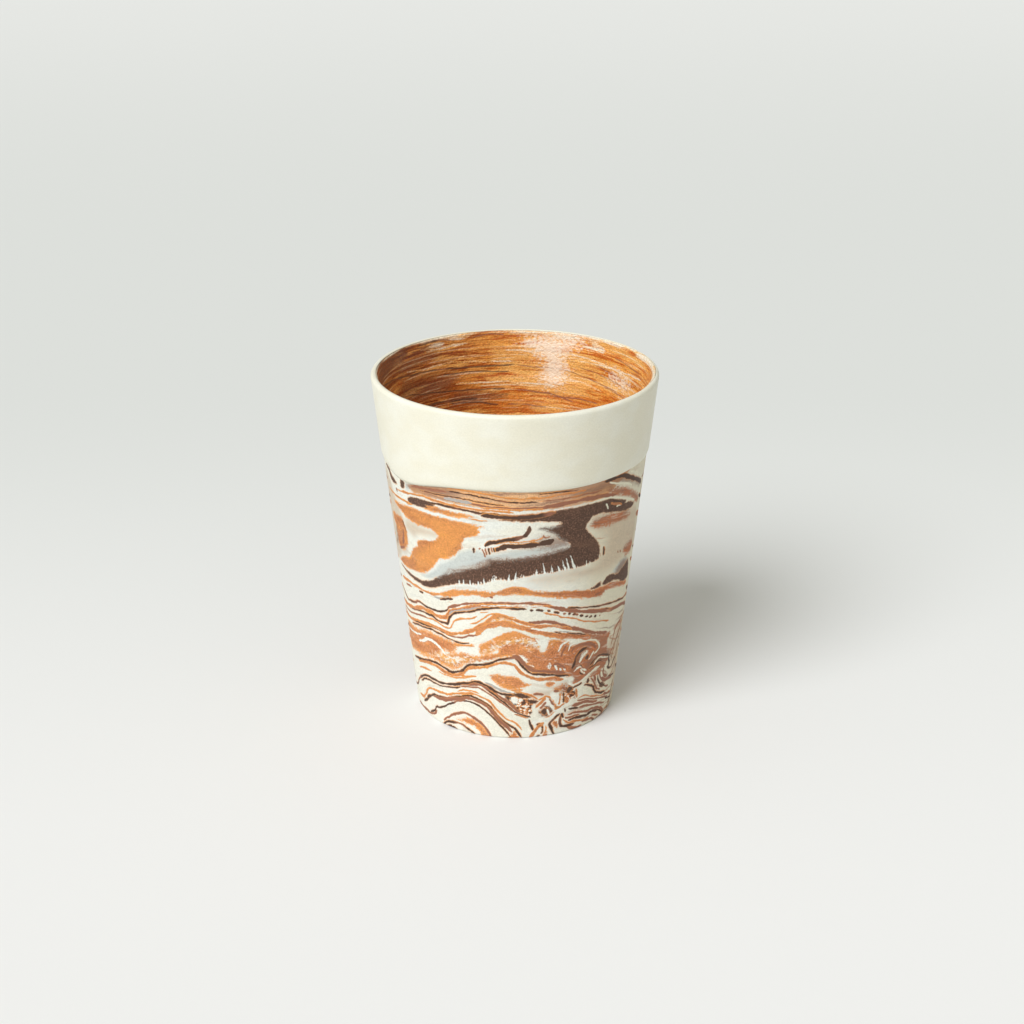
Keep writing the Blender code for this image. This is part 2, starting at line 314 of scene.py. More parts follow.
    Patch("amber", (-19, 28, -18, 30.6, -15, 31.4, -10, 29.4, -8, 27.6, -16, 26.8, -24, 26.4, -22, 27.4)),
    Patch("amber", (15.6, 28.4, 16.2, 31.6, 19, 31.8, 18, 29.4)),
    Patch("amber", (
        -68, 66, -40, 67.6, -18, 67.4, -22, 63, -30, 57, -42, 51, -52, 48, -52, 54, -40, 60, -40, 64,
    ), 2),
    Patch("white", (2, 26.2, 3.5, 27.6, 6.5, 26, 5, 25.2), 2),
    Patch("white", (29.6, 29.6, 32, 30.8, 36, 30, 33, 29.3), 2),
    Patch("white", (37, 24, 38.4, 25.2, 40.6, 25.4, 41, 24.8, 39, 24), 2),
    Patch("white", (36.6, 12.5, 37, 14.4, 40, 14.7, 44, 13.6, 47, 12.4, 48.5, 11, 42, 10.4, 37.4, 10.6)),
    Patch("white", (7, 23, 8, 24.2, 10, 23.8, 9.4, 22.8)),
    Patch("white", (17.4, 23.4, 18.6, 24.4, 19.6, 23.2, 18.6, 22.6)),
    Patch("white", (3, 13, 3.6, 13.6, 4.6, 13.4, 4, 12.8)),
    # soft smoke: dark clay smeared into its neighbours, blushes of ochre on the white, bright ochre
    Patch("umber", (
        -32, 51.6, -25, 53.6, -20, 55, -14, 56.6, -10, 58, 0, 58.4, 8, 58.8, 16, 59.8, 24, 60.6, 26, 61,
        22, 58.6, 8, 57, -6, 56, -14, 54, -24, 51.6,
    )),
    Patch("umber", (1, 62.4, 8, 63.4, 14, 64.4, 20, 64.4, 26, 62.4, 24, 60.6, 14, 60.6, 6, 61.4), 1.6),
    Patch("umber", (14, 66, 18, 64.8, 21, 63.6, 25, 62.4, 29, 62, 29, 67, 20, 67.4)),
    Patch("umber", (
        40, 77.4, 47, 78, 53, 78, 57, 76.8, 64, 74.8, 74, 71.6, 78, 70, 72, 70.2, 64, 72.6, 56, 74.6,
        50, 75.8,
    )),
    Patch("umber", (56, 47, 60, 49.6, 66, 49.6, 71, 47.6, 66, 46.4, 60, 45.6)),
    Patch("umber", (-70, 58, -69.4, 54, -74, 51.4, -76, 52, -71.4, 55)),
    Patch("blush", (-58, 60.6, -52, 59, -46, 60.8, -38, 61.6, -37, 62.8, -46, 63, -56, 63.2)),
    Patch("blush", (-84, 46, -70, 48.4, -66, 51, -60, 52, -58, 60, -62, 65, -66, 68, -72, 74, -84, 74)),
    Patch("blush", (
        34, 65.4, 36, 66.2, 44, 66, 54, 65.2, 66, 64, 76, 62, 78, 58, 70, 60.4, 60, 62, 50, 63, 42, 63.6,
        36, 64.4,
    )),
    Patch("blush", (60, 25, 66, 26, 72, 30, 82, 29, 82, 8, 70, 10, 66, 14, 60, 19, 58, 22), 1.5),
    Patch("blush", (30, 52, 44, 52.4, 56, 51.6, 52, 50, 40, 50, 30, 50.6)),
    Patch("blush", (
        36, 51, 44, 55, 46, 60, 40, 64, 48, 66, 60, 64, 80, 60, 82, 50, 64, 51, 56, 50, 46, 49,
    ), 2.5),
    Patch("brown", (
        35.6, 66.3, 39.6, 67.2, 46.9, 66.9, 57, 65.6, 64, 63.8, 61, 62.8, 51, 63.7, 43, 64.3, 37.4, 64.8,
    ), 2.6),
    Patch("brown", (39, 66.4, 44, 66.8, 54, 66, 62, 65.2, 60, 64.4, 50, 64.9, 43, 65.4), 2.6),
    Patch("blush", (36, 68, 46, 68.4, 58, 66.8, 72, 64, 74, 59.6, 62, 60.6, 50, 61.6, 40, 62.8), 1.6),
    Patch("umber", (-52, 74.3, -46, 75.8, -36, 76.8, -28, 77.6, -24, 76.4, -34, 75, -44, 74), 1.6),
    Patch("umber", (26, 76, 34, 77.2, 44, 77.6, 52, 76.4, 46, 75, 36, 74.8), 2.4),
    Patch("blush", (8, 51.4, 18, 52.6, 30, 52.4, 37, 51.2, 28, 50.2, 14, 50), 2.4),
    Patch("haze", (
        -38, 49.4, -27, 54, -20, 57, -12, 59.2, 0, 60, 10, 60.4, 22, 61.8, 27, 63.6, 24, 66.6, 14, 67.6,
        9, 66.6, 16, 65.4, 20, 63.4, 26, 60, 16, 57.6, 0, 56.6, -12, 54, -24, 51.4, -36, 47.8,
    )),
    Patch("amber", (-25, 67, -16, 67.6, -13, 67, -16, 64.4, -22, 64, -24, 65)),
    Patch("amber", (-34, 70.4, -22, 70.4, -17, 69.9, -24, 69.4, -33, 69.5)),
    Patch("amber", (-20, 78.6, -12, 77.8, 0, 77.2, 0, 76.2, -8, 76.4, -16, 77.2)),
    Patch("amber", (-61, 57.6, -58, 58.4, -57, 56.6, -60, 53.8)),
    Patch("amber", (-64, 74.8, -60, 75.2, -58, 74.6, -58, 73, -62, 73.2)),
    Patch("amber", (-52, 47.4, -44, 49.8, -41, 51.4, -46, 49.8)),
    Patch("amber", (0, 36, 8, 34.6, 10, 33, 4, 32.6, -6, 33.6)),
    Patch("ochre", (
        -15.5, 36.4, -11.4, 38.1, -7.5, 39.2, -3.6, 38.5, 0.1, 37.5, -3.6, 37, -7.5, 37.3, -11.5, 36.4,
    )),
]

STROKES = [
    # round the tongue and the streaked lens
    Stroke("dark", 0.2, (-28, 76.7, -18, 76.5, -8, 75.7, 1, 75, 10, 75)),
    Stroke("ochre", 0.24, (-29, 77.7, -18, 77.6, -8, 76.9, 1, 76.2, 12, 76.2, 21.4, 76.6, 32, 76.6)),
    Stroke("brown", 0.34, (-50, 74.8, -42, 75.5, -34.5, 76.1, -29, 76.4)),
    Stroke("dark", 0.15, (-44, 74.5, -32, 75, -21.8, 75.1, -12.4, 74.5, -4, 74)),
    Stroke("brown", 0.2, (-25.5, 74, -18, 73.9, -10, 73.5, 1, 73.3, 12.4, 73.4, 24, 73.8, 36, 74.3)),
    Stroke("ochre", 0.2, (-14, 73.1, -4, 72.9, 4, 72.8, 12, 72.9, 20, 73.2)),
    Stroke("brown", 0.22, (12, 75.2, 21.5, 75.2, 31.6, 75.4, 40, 75.2)),
    Stroke("grey", 0.4, (-31, 74.3, -24, 74.3, -18, 74.1)),
    Stroke("dark", 0.14, (10, 77.4, 18, 77.3, 28, 77.2)),
    Stroke("dark", 0.62, (41, 77.6, 47, 77.6, 53, 77.4, 57, 76.2, 62, 74.8, 68, 73, 76, 70.4)),
    # the arch's broad brown bands, under their dark edges
    Stroke("brown", 0.45, (
        -31, 15.8, -26, 16.6, -22, 17.1, -18, 17.2, -14.8, 16.4, -12, 15.4, -9.4, 14.5, -6.8, 13.6,
        -4, 12.6, -1.4, 11.2, 0.8, 10, 3.5, 8.8,
    )),
    Stroke("dark", 0.22, (
        -14, 15.8, -11, 14.6, -8, 13.2, -5, 11.9, -2.4, 10.6, 0, 9.4, 3.5, 8.2, 7.4, 7.5, 9.2, 7.1,
    )),
    Stroke("grey", 0.25, (-34, 14.9, -28, 15.7, -22, 16.2, -19, 16.2)),
    Stroke("grey", 0.36, (-15.6, 18.4, -12, 17.4, -6.6, 16, -1.4, 15.3)),
    Stroke("grey", 0.35, (-25, 40.6, -20, 41.3, -15, 42)),
    Stroke("grey", 0.3, (-17, 24.2, -12, 25, -7, 26.1, 0, 26.4)),
    Stroke("dark", 0.17, (-14.5, 37.4, -12.5, 38.5, -11, 39.2, -9, 39.6, -7, 39.5)),
    Stroke("ochre", 0.3, (-30, 19, -25, 19.3, -20, 19.9)),
    Stroke("white", 0.28, (21.4, 23.4, 22.6, 21.4)),
    Stroke("white", 0.24, (24.2, 22.2, 25.4, 20.4)),
    Stroke("white", 0.24, (26.2, 22.8, 27.4, 21)),
    Stroke("ochre", 0.3, (
        -63, 71, -57, 71.5, -52, 72.1, -47, 72.6, -42, 73, -36, 72.9, -30, 72.7, -20, 72.5, -10, 72.3,
        0, 72.1,
    )),
    Stroke("brown", 0.35, (-63, 71.3, -61.4, 70.4)),
    Stroke("dark", 0.3, (
        -40, 71.8, -35, 72, -28.4, 72, -22, 71.8, -16, 71.5, -8, 71.2, 1, 71, 10, 71.2, 18, 71.6,
    )),
    Stroke("dark", 0.5, (-14, 70.8, -6, 70.6, 2, 70.5, 10, 70.8, 18, 71.4)),
    Stroke("white", 0.25, (-46, 68.4, -37, 68.7, -32, 68.9, -26, 68.5, -18, 68.4)),
    Stroke("ochre", 0.2, (-20, 69.3, -14, 69.2, -11, 69.2)),
    Stroke("ochre", 0.3, (-74, 68.9, -66, 68.7, -60, 68.8, -50, 69)),
    Stroke("dark", 0.31, (-60.5, 62, -59, 60.6, -57.8, 58.8)),
    Stroke("brown", 0.5, (-61, 59, -62, 56, -63.5, 53.9)),
    Stroke("brown", 0.4, (-68.5, 51.8, -65, 52.6, -61.6, 53.5)),
    Stroke("dark", 0.48, (
        -12.6, 61.4, -11.9, 62.1, -10, 62.8, -7.8, 63, -5, 63.4, -2, 63.8, 0.8, 64.1, 3, 64.5, 5, 65.1,
        6.1, 66, 6.8, 67.2, 7.1, 68,
    )),
    Stroke("dark", 0.5, (5.2, 65.3, 6.3, 66.4, 7, 68)),
    Stroke("ochre", 0.14, (-8, 62.4, -3, 63, 0, 63.1, 4, 63.2, 8, 63.5, 12.2, 63.9, 13.4, 64.8)),
    Stroke("dark", 0.66, (-8.8, 60.1, -5.9, 61.2, -3, 61.8, 0.4, 61.9, 3.6, 61.9, 7.5, 62.1, 11.4, 62.3)),
    Stroke("dark", 0.82, (5, 62.1, 10.9, 62.3, 13.8, 62.6, 16.2, 62.8, 17.6, 63.4)),
    Stroke("brown", 0.2, (12.9, 65, 13.2, 64.2, 14.6, 64, 15.8, 64.5)),
    Stroke("dark", 0.26, (-18.2, 60.8, -18.1, 59)),
    Stroke("brown", 0.18, (-15.8, 60.4, -14.8, 60.7)),
    Stroke("brown", 0.2, (-14.2, 60.6, -13.1, 58.9, -12.6, 58)),
    Stroke("brown", 0.2, (-12.6, 61, -12.1, 58.8)),
    Stroke("dark", 0.2, (-11.2, 61.2, -10.8, 59)),
    Stroke("brown", 0.18, (-10.1, 61.4, -9.5, 59.7)),
    Stroke("dark", 0.18, (-9, 61.3, -8.5, 59.8)),
    # white drawn up into the dark clay's lower edge
    Stroke("white", 0.36, (0.4, 51, 0.9, 54), True),
    Stroke("white", 0.3, (14.3, 53, 13, 56.4), True),
    Stroke("white", 0.26, (17.5, 53.4, 16.8, 55.3), True),
    Stroke("white", 0.26, (21, 53.3, 20, 55), True),
    Stroke("white", 0.3, (23.8, 53.4, 22, 56.6), True),
    Stroke("white", 0.32, (25.9, 53.2, 24, 56.8), True),
    Stroke("white", 0.36, (28.7, 53.4, 26, 57.5), True),
    Stroke("white", 0.26, (35.2, 53, 34.8, 55), True),
    Stroke("white", 0.24, (36.9, 53, 37.1, 54.4), True),
    Stroke("white", 0.24, (10.6, 52.8, 10, 54.6), True),
    Stroke("white", 0.24, (-2.4, 51.2, -2.2, 53.2), True),
    Stroke("white", 0.24, (-8.8, 51, -9, 52.9), True),
    Stroke("white", 0.22, (-9.9, 50.8, -9.6, 52.4), True),
    Stroke("white", 0.24, (-13.8, 49.8, -14, 51.6), True),
    Stroke("white", 0.22, (-16.6, 49.2, -16.5, 50.8), True),
    Stroke("white", 0.22, (-20.6, 48.8, -20.8, 50.6), True),
    Stroke("white", 0.22, (-24, 48.8, -24.1, 50.4), True),
    Stroke("white", 0.22, (-26.4, 48.6, -26.1, 50.1), True),
    Stroke("white", 0.26, (43.2, 70.8, 44.2, 69.8, 45, 68.8)),
    Stroke("white", 0.4, (50.6, 68.6, 52.4, 68.9, 54, 68.4)),
    Stroke("ochre", 0.35, (46, 70.4, 49, 69.6, 52, 69.2, 55, 68.4)),
    Stroke("dark", 0.31, (44.3, 57.6, 45, 56.4, 45, 54.6)),
    Stroke("brown", 0.25, (55.6, 53.8, 57, 53.2)),
    Stroke("brown", 0.25, (58.2, 53.7, 59.3, 52.7)),
    Stroke("brown", 0.5, (12, 73.2, 20, 73.6, 28, 73.9, 36, 73.8, 44, 73.2, 50, 72.2)),
    Stroke("white", 0.18, (34, 72.5, 42, 72.5, 46, 72.1, 50, 71.3, 54, 70.4, 58, 69.4, 63, 68.1, 68, 67)),
    Stroke("white", 0.24, (44, 76.8, 48, 76, 54, 74.9, 58, 73.9, 62, 72.7)),
    Stroke("white", 0.4, (58, 77.8, 66, 75.4, 74, 72.6)),
    # strata under the ochre band
    Stroke("ochre", 0.35, (-72, 42, -62, 42.8, -55, 43, -48, 42.8, -42, 43, -38, 44)),
    Stroke("brown", 0.25, (-67, 41, -60, 41.6)),
    Stroke("dark", 0.27, (-53, 41.7, -49.4, 41.9)),
    Stroke("grey", 0.32, (-42.2, 42.3, -39, 42.2, -36.4, 42.9, -31.5, 43.6)),
    Stroke("dark", 0.28, (-38.4, 42, -34.6, 42.8, -30.1, 43.4)),
    Stroke("brown", 0.28, (-11.4, 45.9, -9.6, 45.8)),
    Stroke("brown", 0.34, (
        -33.8, 39.8, -33.2, 40.4, -31.4, 41, -26.8, 42, -23, 42.9, -19.9, 43.2, -14.9, 43.6, -7.2, 44.2,
        0, 44.3, 6, 44.2, 12, 43.6, 18.5, 42.6,
    )),
    Stroke("dark", 0.34, (-8, 42.9, -3, 42.7, 1.5, 42.5, 6.4, 42.2)),
    Stroke("dark", 0.34, (7.6, 42.1, 9.2, 41.8)),
    Stroke("dark", 0.36, (10.4, 41.9, 13.8, 41.4)),
    Stroke("dark", 0.3, (15.8, 41.3, 17.7, 41)),
    Stroke("dark", 0.34, (19.2, 40.8, 20.6, 40.4, 22.3, 39.9)),
    Stroke("dark", 0.38, (24, 39.6, 25.7, 39.4)),
    Stroke("dark", 0.3, (27, 39.3, 28.6, 39.3)),
    Stroke("dark", 0.36, (29.4, 39, 31, 38.6, 32.9, 38.2)),
    Stroke("dark", 0.36, (33.7, 38, 36.1, 37.3)),
    Stroke("dark", 0.34, (37.1, 37.1, 38.9, 36.7)),
    Stroke("dark", 0.3, (39.9, 36.5, 41.5, 36.2)),
    Stroke("dark", 0.34, (42.9, 36, 44.8, 35.7)),
    Stroke("brown", 0.3, (46.6, 35.6, 48, 35.5)),
    Stroke("dark", 0.26, (39.2, 36.3, 40.4, 36.1)),
    Stroke("ochre", 0.2, (
        13.6, 40.9, 16.6, 40.3, 21.5, 39.3, 23.2, 38.6, 27.2, 38.1, 31, 37.3, 34, 36.3, 37.4, 35.5,
        41.6, 34.6, 46.2, 33.8, 50.5, 33.2, 56, 32.2,
    )),
    Stroke("brown", 0.5, (
        17, 42.6, 21.8, 41.6, 25, 40.8, 33.4, 39.2, 42.2, 37.7, 50, 36.4, 57, 35.4, 64, 34.8, 70, 34.2,
        80, 32,
    )),
    Stroke("dark", 0.22, (
        26, 41.2, 32, 40.5, 40, 39.5, 46, 38.8, 52, 38.2, 58, 37.4, 64, 36.8, 70, 35.9, 80, 35,
    )),
    Stroke("dark", 0.2, (38, 38.9, 44, 38, 50, 37, 56, 35.9, 60, 35.2)),
    Stroke("dark", 0.28, (
        -78, 38.6, -70, 36.5, -67, 35.9, -63, 36.4, -58, 37.2, -56, 38, -53, 38.2, -48.4, 37.8,
        -45.5, 37.8, -42, 38, -39, 38.2, -36, 38.9, -34.2, 39.5, -33.2, 40.4,
    )),
    Stroke("ochre", 0.54, (
        -78, 33, -67, 34, -60, 35, -55, 36.2, -51, 36.8, -48.8, 36.7, -45, 36.7, -42.2, 36.4, -39, 36.4,
        -35.6, 36.8, -34, 38, -33, 39, -30, 40, -25.2, 41.1, -22, 41.9, -18, 42.6, -15, 42.9,
        -10.6, 43.1, -7, 43.2, 0, 43.4,
    )),
    Stroke("ochre", 0.34, (-2, 43.4, 6, 43.4, 13, 43, 20, 42.2)),
    Stroke("grey", 0.4, (-33.9, 36, -33.2, 37.6, -32, 38.9, -27, 40.2, -22, 41.1, -18, 41.8, -15, 42.3)),
    Stroke("dark", 0.25, (
        -64, 33.8, -55, 35.2, -49, 35.6, -44.5, 35.7, -42, 35.1, -39.2, 34.8, -36.6, 34.8, -34.8, 34.9,
        -34, 35.8, -33.6, 36.8, -32.2, 38, -31, 38.6, -29, 39.2, -24.4, 40, -21, 40.6, -18, 41.3,
        -15, 41.8, -12, 42.3, -8.2, 42.7, -5.4, 42.7,
    )),
    Stroke("ochre", 0.22, (
        -49.5, 34.2, -45.5, 34.7, -42, 34.5, -39.4, 34, -36.9, 33.5, -34.6, 33.6, -33, 34, -31.5, 35.4,
        -30.6, 36.4, -28.5, 37.2, -25.8, 37.8, -22.5, 38.1, -20.4, 38.5, -18.8, 39.1, -17.9, 39.5,
    )),
    Stroke("ochre", 0.16, (-16.4, 40.6, -12.4, 41.1)),
    Stroke("brown", 0.24, (-78, 31.6, -68, 32, -60, 33, -54, 33.9, -48, 34.2)),
    Stroke("ochre", 0.5, (
        -78, 29.6, -68, 30, -58, 31.2, -54, 31.9, -50.2, 32.1, -47, 32.5, -43, 32.5, -39.8, 32.3,
        -36.5, 32, -33.4, 32, -30.4, 32.4, -27.4, 33, -25, 33.6, -22.4, 34.3, -20, 35, -18, 36,
        -15.4, 37, -13.2, 37.8, -12.2, 38.7, -10.8, 39.4, -8.8, 40, -6.4, 40.1, -4, 39.7, -1, 39.1,
        1.2, 38.8, 4.4, 38.1, 7.5, 37.4, 11.6, 36.6, 17, 36.5, 21, 36, 24.6, 35.1, 30, 34,
    )),
    Stroke("brown", 0.45, (
        5.4, 37.9, 9.5, 37.9, 13, 38, 16.8, 37.8, 20, 37.2, 23.4, 36.2, 28, 34.9, 34.4, 33.3, 40, 31.8,
        46.4, 30.2, 55.8, 28.5,
    )),
    Stroke("ochre", 0.2, (-22, 36.4, -18, 37.4, -15, 38.8, -12.4, 40.2, -8, 40.8, -4, 40.2, 1, 39.6)),
    Stroke("dark", 0.2, (-62, 30.4, -55, 31.2, -50, 31.6, -46, 31.9, -42, 31.8, -37.2, 31.5)),
    Stroke("brown", 0.24, (
        -38, 31.7, -33.5, 31.3, -30, 31.3, -26.4, 31.8, -22.5, 32.8, -20.2, 33, -18.6, 33.5, -18, 34.2,
        -17.5, 34.9,
    )),
    Stroke("ochre", 0.8, (
        -19, 33.2, -18, 34.2, -17.5, 34.9, -15.4, 35.8, -12.4, 36.7, -8.4, 37.6, -5.5, 37.8, -2, 37.5,
        1.2, 36.9, 6.5, 36, 11.6, 35.1, 16, 33.9, 21.5, 33, 28.5, 32.1, 35, 31, 42, 29.3,
    )),
    Stroke("grey", 0.2, (20.8, 34.5, 26, 33.7, 31, 32.6, 36, 31.5)),
    Stroke("white", 0.2, (8, 36.2, 14, 35.4, 20, 34.9, 27, 34)),
    Stroke("dark", 0.17, (19.6, 34.4, 22, 33.9, 24, 33.5)),
    Stroke("dark", 0.17, (27, 33.2, 30, 32.6, 34, 32, 39, 31.1)),
    # folds of the middle
    Stroke("white", 0.24, (-50, 31.3, -46, 31.5, -42.5, 31.3, -39, 31, -35, 30.7, -30, 30.5)),
    Stroke("dark", 0.22, (
        -66, 28.8, -58, 30, -50.6, 30.7, -46.5, 31, -43, 30.8, -39.5, 30.6, -36.2, 30.3, -32.5, 30,
        -29, 29.8, -26, 29.9, -22.8, 30.3,
    )),
    Stroke("ochre", 0.26, (-31, 28.9, -25.6, 29.3, -20, 29.7)),
    Stroke("white", 0.38, (
        -60, 24.6, -55, 25.6, -52, 26.8, -48, 27.3, -45, 27, -42, 26.3, -39.5, 25.2, -38, 24.4,
    )),
    Stroke("white", 0.25, (-74, 25.4, -66, 25.8, -60, 26.6, -56, 27.4)),
    Stroke("dark", 0.31, (
        -70, 17, -62, 18.2, -57, 19, -52, 20, -48, 20.4, -44, 20.3, -36, 19.4, -32, 19.8, -29, 20.5,
        -27, 21.6, -25, 22.7, -23, 23.4, -17, 23.8, -13, 24.5, -8, 26, -5, 26.4, 0, 26.9, 2, 25.8,
        4, 24.3, 6, 23, 8, 22, 10, 21.4, 15, 20.9, 20, 20.5, 24, 19.7, 30, 19.1,
    )),
    Stroke("ochre", 0.5, (
        -64, 17.2, -52, 19.2, -46, 19.4, -40, 18.6, -36, 18.6, -31, 19, -28, 20.1, -25, 21.7, -22, 22.7,
        -18, 22.9, -14, 23.5, -10, 24.5, -5, 25.2, 0, 24.4, 3, 22.3, 6, 21.1, 10, 20.1, 13, 19.5,
        17, 19.4, 20, 19.3, 23, 18.8, 27, 18.1,
    )),
    Stroke("ochre", 0.2, (-45, 17.8, -38, 17.7, -30, 18.2, -22, 19.5)),
    Stroke("ochre", 0.25, (-64, 15.2, -56, 16.4, -50, 16.8)),
    Stroke("white", 0.24, (23, 27.6, 24.6, 29.6, 27, 30.3, 28.6, 30.9, 31, 31.1)),
    Stroke("white", 0.24, (
        28.5, 27.3, 29.5, 28.8, 32, 29.3, 36.5, 29.1, 41.4, 28.8, 46, 28.1, 49, 26.1, 49.8, 24.7,
        48, 23.8, 45.8, 23.5,
    )),
    Stroke("brown", 0.5, (
        -1, 27.5, 2, 27, 4, 25.7, 6.4, 24.1, 9.6, 22.8, 14, 22, 19, 21.6, 24, 20.7, 28, 20.2,
    )),
    Stroke("brown", 0.4, (30, 26.6, 32, 28, 36, 28.2, 41, 27.8, 45, 26.8, 47, 25)),
    Stroke("brown", 0.3, (24.4, 25.6, 25.6, 28, 27.6, 29.4)),
    Stroke("white", 0.36, (35.8, 22.4, 38, 24, 40.8, 25.2)),
    Stroke("dark", 0.44, (31.6, 20.8, 32.6, 22.4, 33.4, 24.3, 35.2, 25.7, 37.9, 26.4, 40.4, 26.6)),
    Stroke("white", 0.3, (42.4, 22.2, 44, 23.2, 46, 24.4)),
    Stroke("white", 0.24, (32.9, 19.8, 35.4, 20.8, 37.4, 21.1, 39, 19.9, 41.6, 18.8)),
    Stroke("dark", 0.23, (36, 21.8, 37.4, 21.2, 38.6, 20.4, 40, 19.9)),
    Stroke("dark", 0.24, (63, 19.7, 57.8, 20.8, 53.5, 21.7, 50, 22.1, 47.6, 21.7, 45.5, 20.8, 43.5, 19.9)),
    Stroke("white", 0.2, (62, 19.1, 56, 20.4, 51, 21.2, 48.6, 20.7, 46.5, 19.8)),
    Stroke("dark", 0.2, (55, 19.8, 50.4, 20.2, 48, 19.7, 45, 19.3, 42.2, 18.9)),
    Stroke("brown", 0.24, (61, 18.4, 56, 19.2, 52, 19.4, 49, 18.9)),
    Stroke("white", 0.36, (
        30, 16.6, 31.6, 16, 34, 15.3, 37, 15.7, 41, 16.7, 45, 17.5, 49, 18.2, 52.4, 18.3,
    )),
    Stroke("white", 0.4, (30.4, 16.9, 31.6, 17.4, 33, 17.8)),
    Stroke("brown", 0.4, (8, 23.4, 12, 22.3, 18, 21.8, 24, 21, 28, 20.2)),
    Stroke("brown", 0.3, (20, 23.4, 23, 23.8, 26, 22.4, 28, 21.6)),
    # the dark lines that arch over the foot
    Stroke("dark", 0.31, (
        -80, 5.6, -72, 7.6, -67, 10.4, -62, 12.4, -57, 13.9, -52, 14.3, -45, 14.3, -40, 14.6, -35, 15.4,
        -30, 16.3, -25, 17.2, -21, 17.9, -18, 17.9, -15, 17.3, -12, 16.4, -10, 15.6, -7, 15, -3, 14.7,
        0, 14.5,
    )),
    Stroke("dark", 0.2, (-64, 10.4, -59, 12.4, -54, 13.1, -48, 13.1, -42, 13.4, -36, 14.2, -30, 15.2)),
    Stroke("brown", 0.2, (
        -30, 15.3, -25, 15.9, -20, 16.2, -17, 15.7, -14, 14.8, -11, 13.7, -8, 12.5, -5, 11.2, -2, 10,
        0, 9,
    )),
    Stroke("ochre", 0.34, (
        -70, 4.8, -63, 5.5, -60, 7, -57, 9.2, -54, 10.4, -50, 10.8, -40, 11.2, -36, 12, -30, 13.1,
        -25, 13.7, -20, 13.7, -16, 13, -13, 11.9, -11, 10.6, -9, 9.3, -6, 7.5, -3, 6.4, 0, 5.6, 1.5, 4.9,
        3, 4.2, 4.4, 3,
    )),
    Stroke("ochre", 0.22, (-33, 13.4, -28, 14.5, -23, 14.7, -19, 14.4)),
    Stroke("dark", 0.3, (
        -64, 3.8, -58, 6, -56, 7.3, -53, 8.2, -50, 9.1, -45, 9.5, -41, 9.7, -38, 10.5, -34, 11.3,
        -30, 12, -27, 12.7, -24, 12.9, -21, 12.6, -18, 12, -15, 11, -13, 10.2, -11, 8.8, -9, 7.4, -6, 6,
        -3, 4.6, 0, 3.7, 1.5, 2.7, 3, 1.5, 4.4, 0.3,
    )),
    Stroke("dark", 0.47, (-58.6, 6.2, -56.4, 7.3, -53.6, 8)),
    Stroke("brown", 0.45, (
        -52, 8, -50, 8.4, -45, 8.8, -41, 9, -38, 9.8, -34, 10.6, -30, 11.3, -27, 12, -24, 12.1,
        -21, 11.8, -18, 11.2, -15, 10.2, -13, 9.3, -11, 7.8, -9, 6.4, -6, 5, -3, 3.4, -1, 2.2,
    )),
    Stroke("dark", 0.25, (
        -57, 1.8, -52, 3.5, -50, 5.2, -46, 5.7, -43, 6.7, -40, 7.8, -36, 9, -33, 10, -29, 10.8, -26, 11,
        -22, 10.7, -19, 9.9, -16, 8.9, -13, 7.6, -11, 6.3, -8, 4.6, -5, 2.7, -2, 0.6,
    )),
    Stroke("brown", 0.32, (-76, 1, -62, 1.5, -56, 1.6, -52, 2.5, -50, 4.2)),
    Stroke("brown", 0.4, (
        -45, 1.5, -42, 3, -40, 3.6, -38, 4.8, -35, 5.6, -32, 6.2, -29, 6.8, -27, 6.7, -24, 6.2, -21, 5.3,
        -18, 4.2, -16, 2.8, -14, 1, -13, 0,
    )),
    Stroke("dark", 0.3, (-46, 0.2, -42, 1.7, -38, 2.3, -34, 2.8, -31, 2.6, -28, 1.8, -25, 1, -23, 0.2)),
    # the crumpled clay at the lower right
    Stroke("ochre", 0.25, (-2, 16.3, 2, 16.4, 5, 16.4)),
    Stroke("ochre", 0.32, (0, 15.9, 4, 15.6, 6, 15.2, 8, 14.6, 11, 13.8, 13, 12.8)),
    Stroke("brown", 0.4, (10, 14.7, 13, 14.7, 16, 14.3)),
    Stroke("ochre", 0.29, (13, 12.6, 15, 13, 17, 13.6, 18.5, 13.4, 20.4, 12.5)),
    Stroke("brown", 0.4, (21.6, 14.9, 23.4, 14.8, 24.4, 14.4)),
    Stroke("ochre", 0.42, (11.6, 10.2, 13.4, 11.2, 15, 12, 17.2, 13.2)),
    Stroke("brown", 0.34, (14.4, 9.6, 15.8, 10.6, 17.2, 11.8)),
    Stroke("brown", 0.3, (19.2, 12.6, 20.6, 11.2, 22.4, 10.2)),
    Stroke("white", 0.3, (18.4, 12.4, 19.4, 11, 21, 9.8, 22, 9.2)),
    Stroke("ochre", 0.25, (25.3, 13.8, 25.6, 11.6, 25, 10)),
    Stroke("brown", 0.23, (0, 8.4, 2, 8, 4, 7.6, 6, 7.2, 8, 6.9)),
    Stroke("dark", 0.41, (8.2, 6.5, 8.6, 5.4, 9, 4.6, 9.8, 3.6, 10.2, 2.6)),
    Stroke("ochre", 0.46, (8.4, 0.2, 10, 1.2, 11.5, 2.3, 13, 3.6, 15, 4.2, 17, 4.9)),
    Stroke("dark", 0.36, (12.2, 4.7, 13.5, 4.4, 15.2, 4.3)),
    Stroke("dark", 0.26, (15.7, 4.2, 15.9, 3, 15.9, 1.9, 14.8, 1.2)),
    Stroke("white", 0.28, (18.3, 9.4, 18.8, 8.3, 19.7, 7.2)),
    Stroke("ochre", 0.34, (16, 6.4, 18, 6.3, 20, 6.6, 22, 7.4, 24, 8.1)),
    Stroke("white", 0.46, (9.8, 5, 15.4, 6.1, 19, 6.1, 21.4, 6.6, 24.6, 8, 28, 9, 33, 10)),
    Stroke("dark", 0.36, (
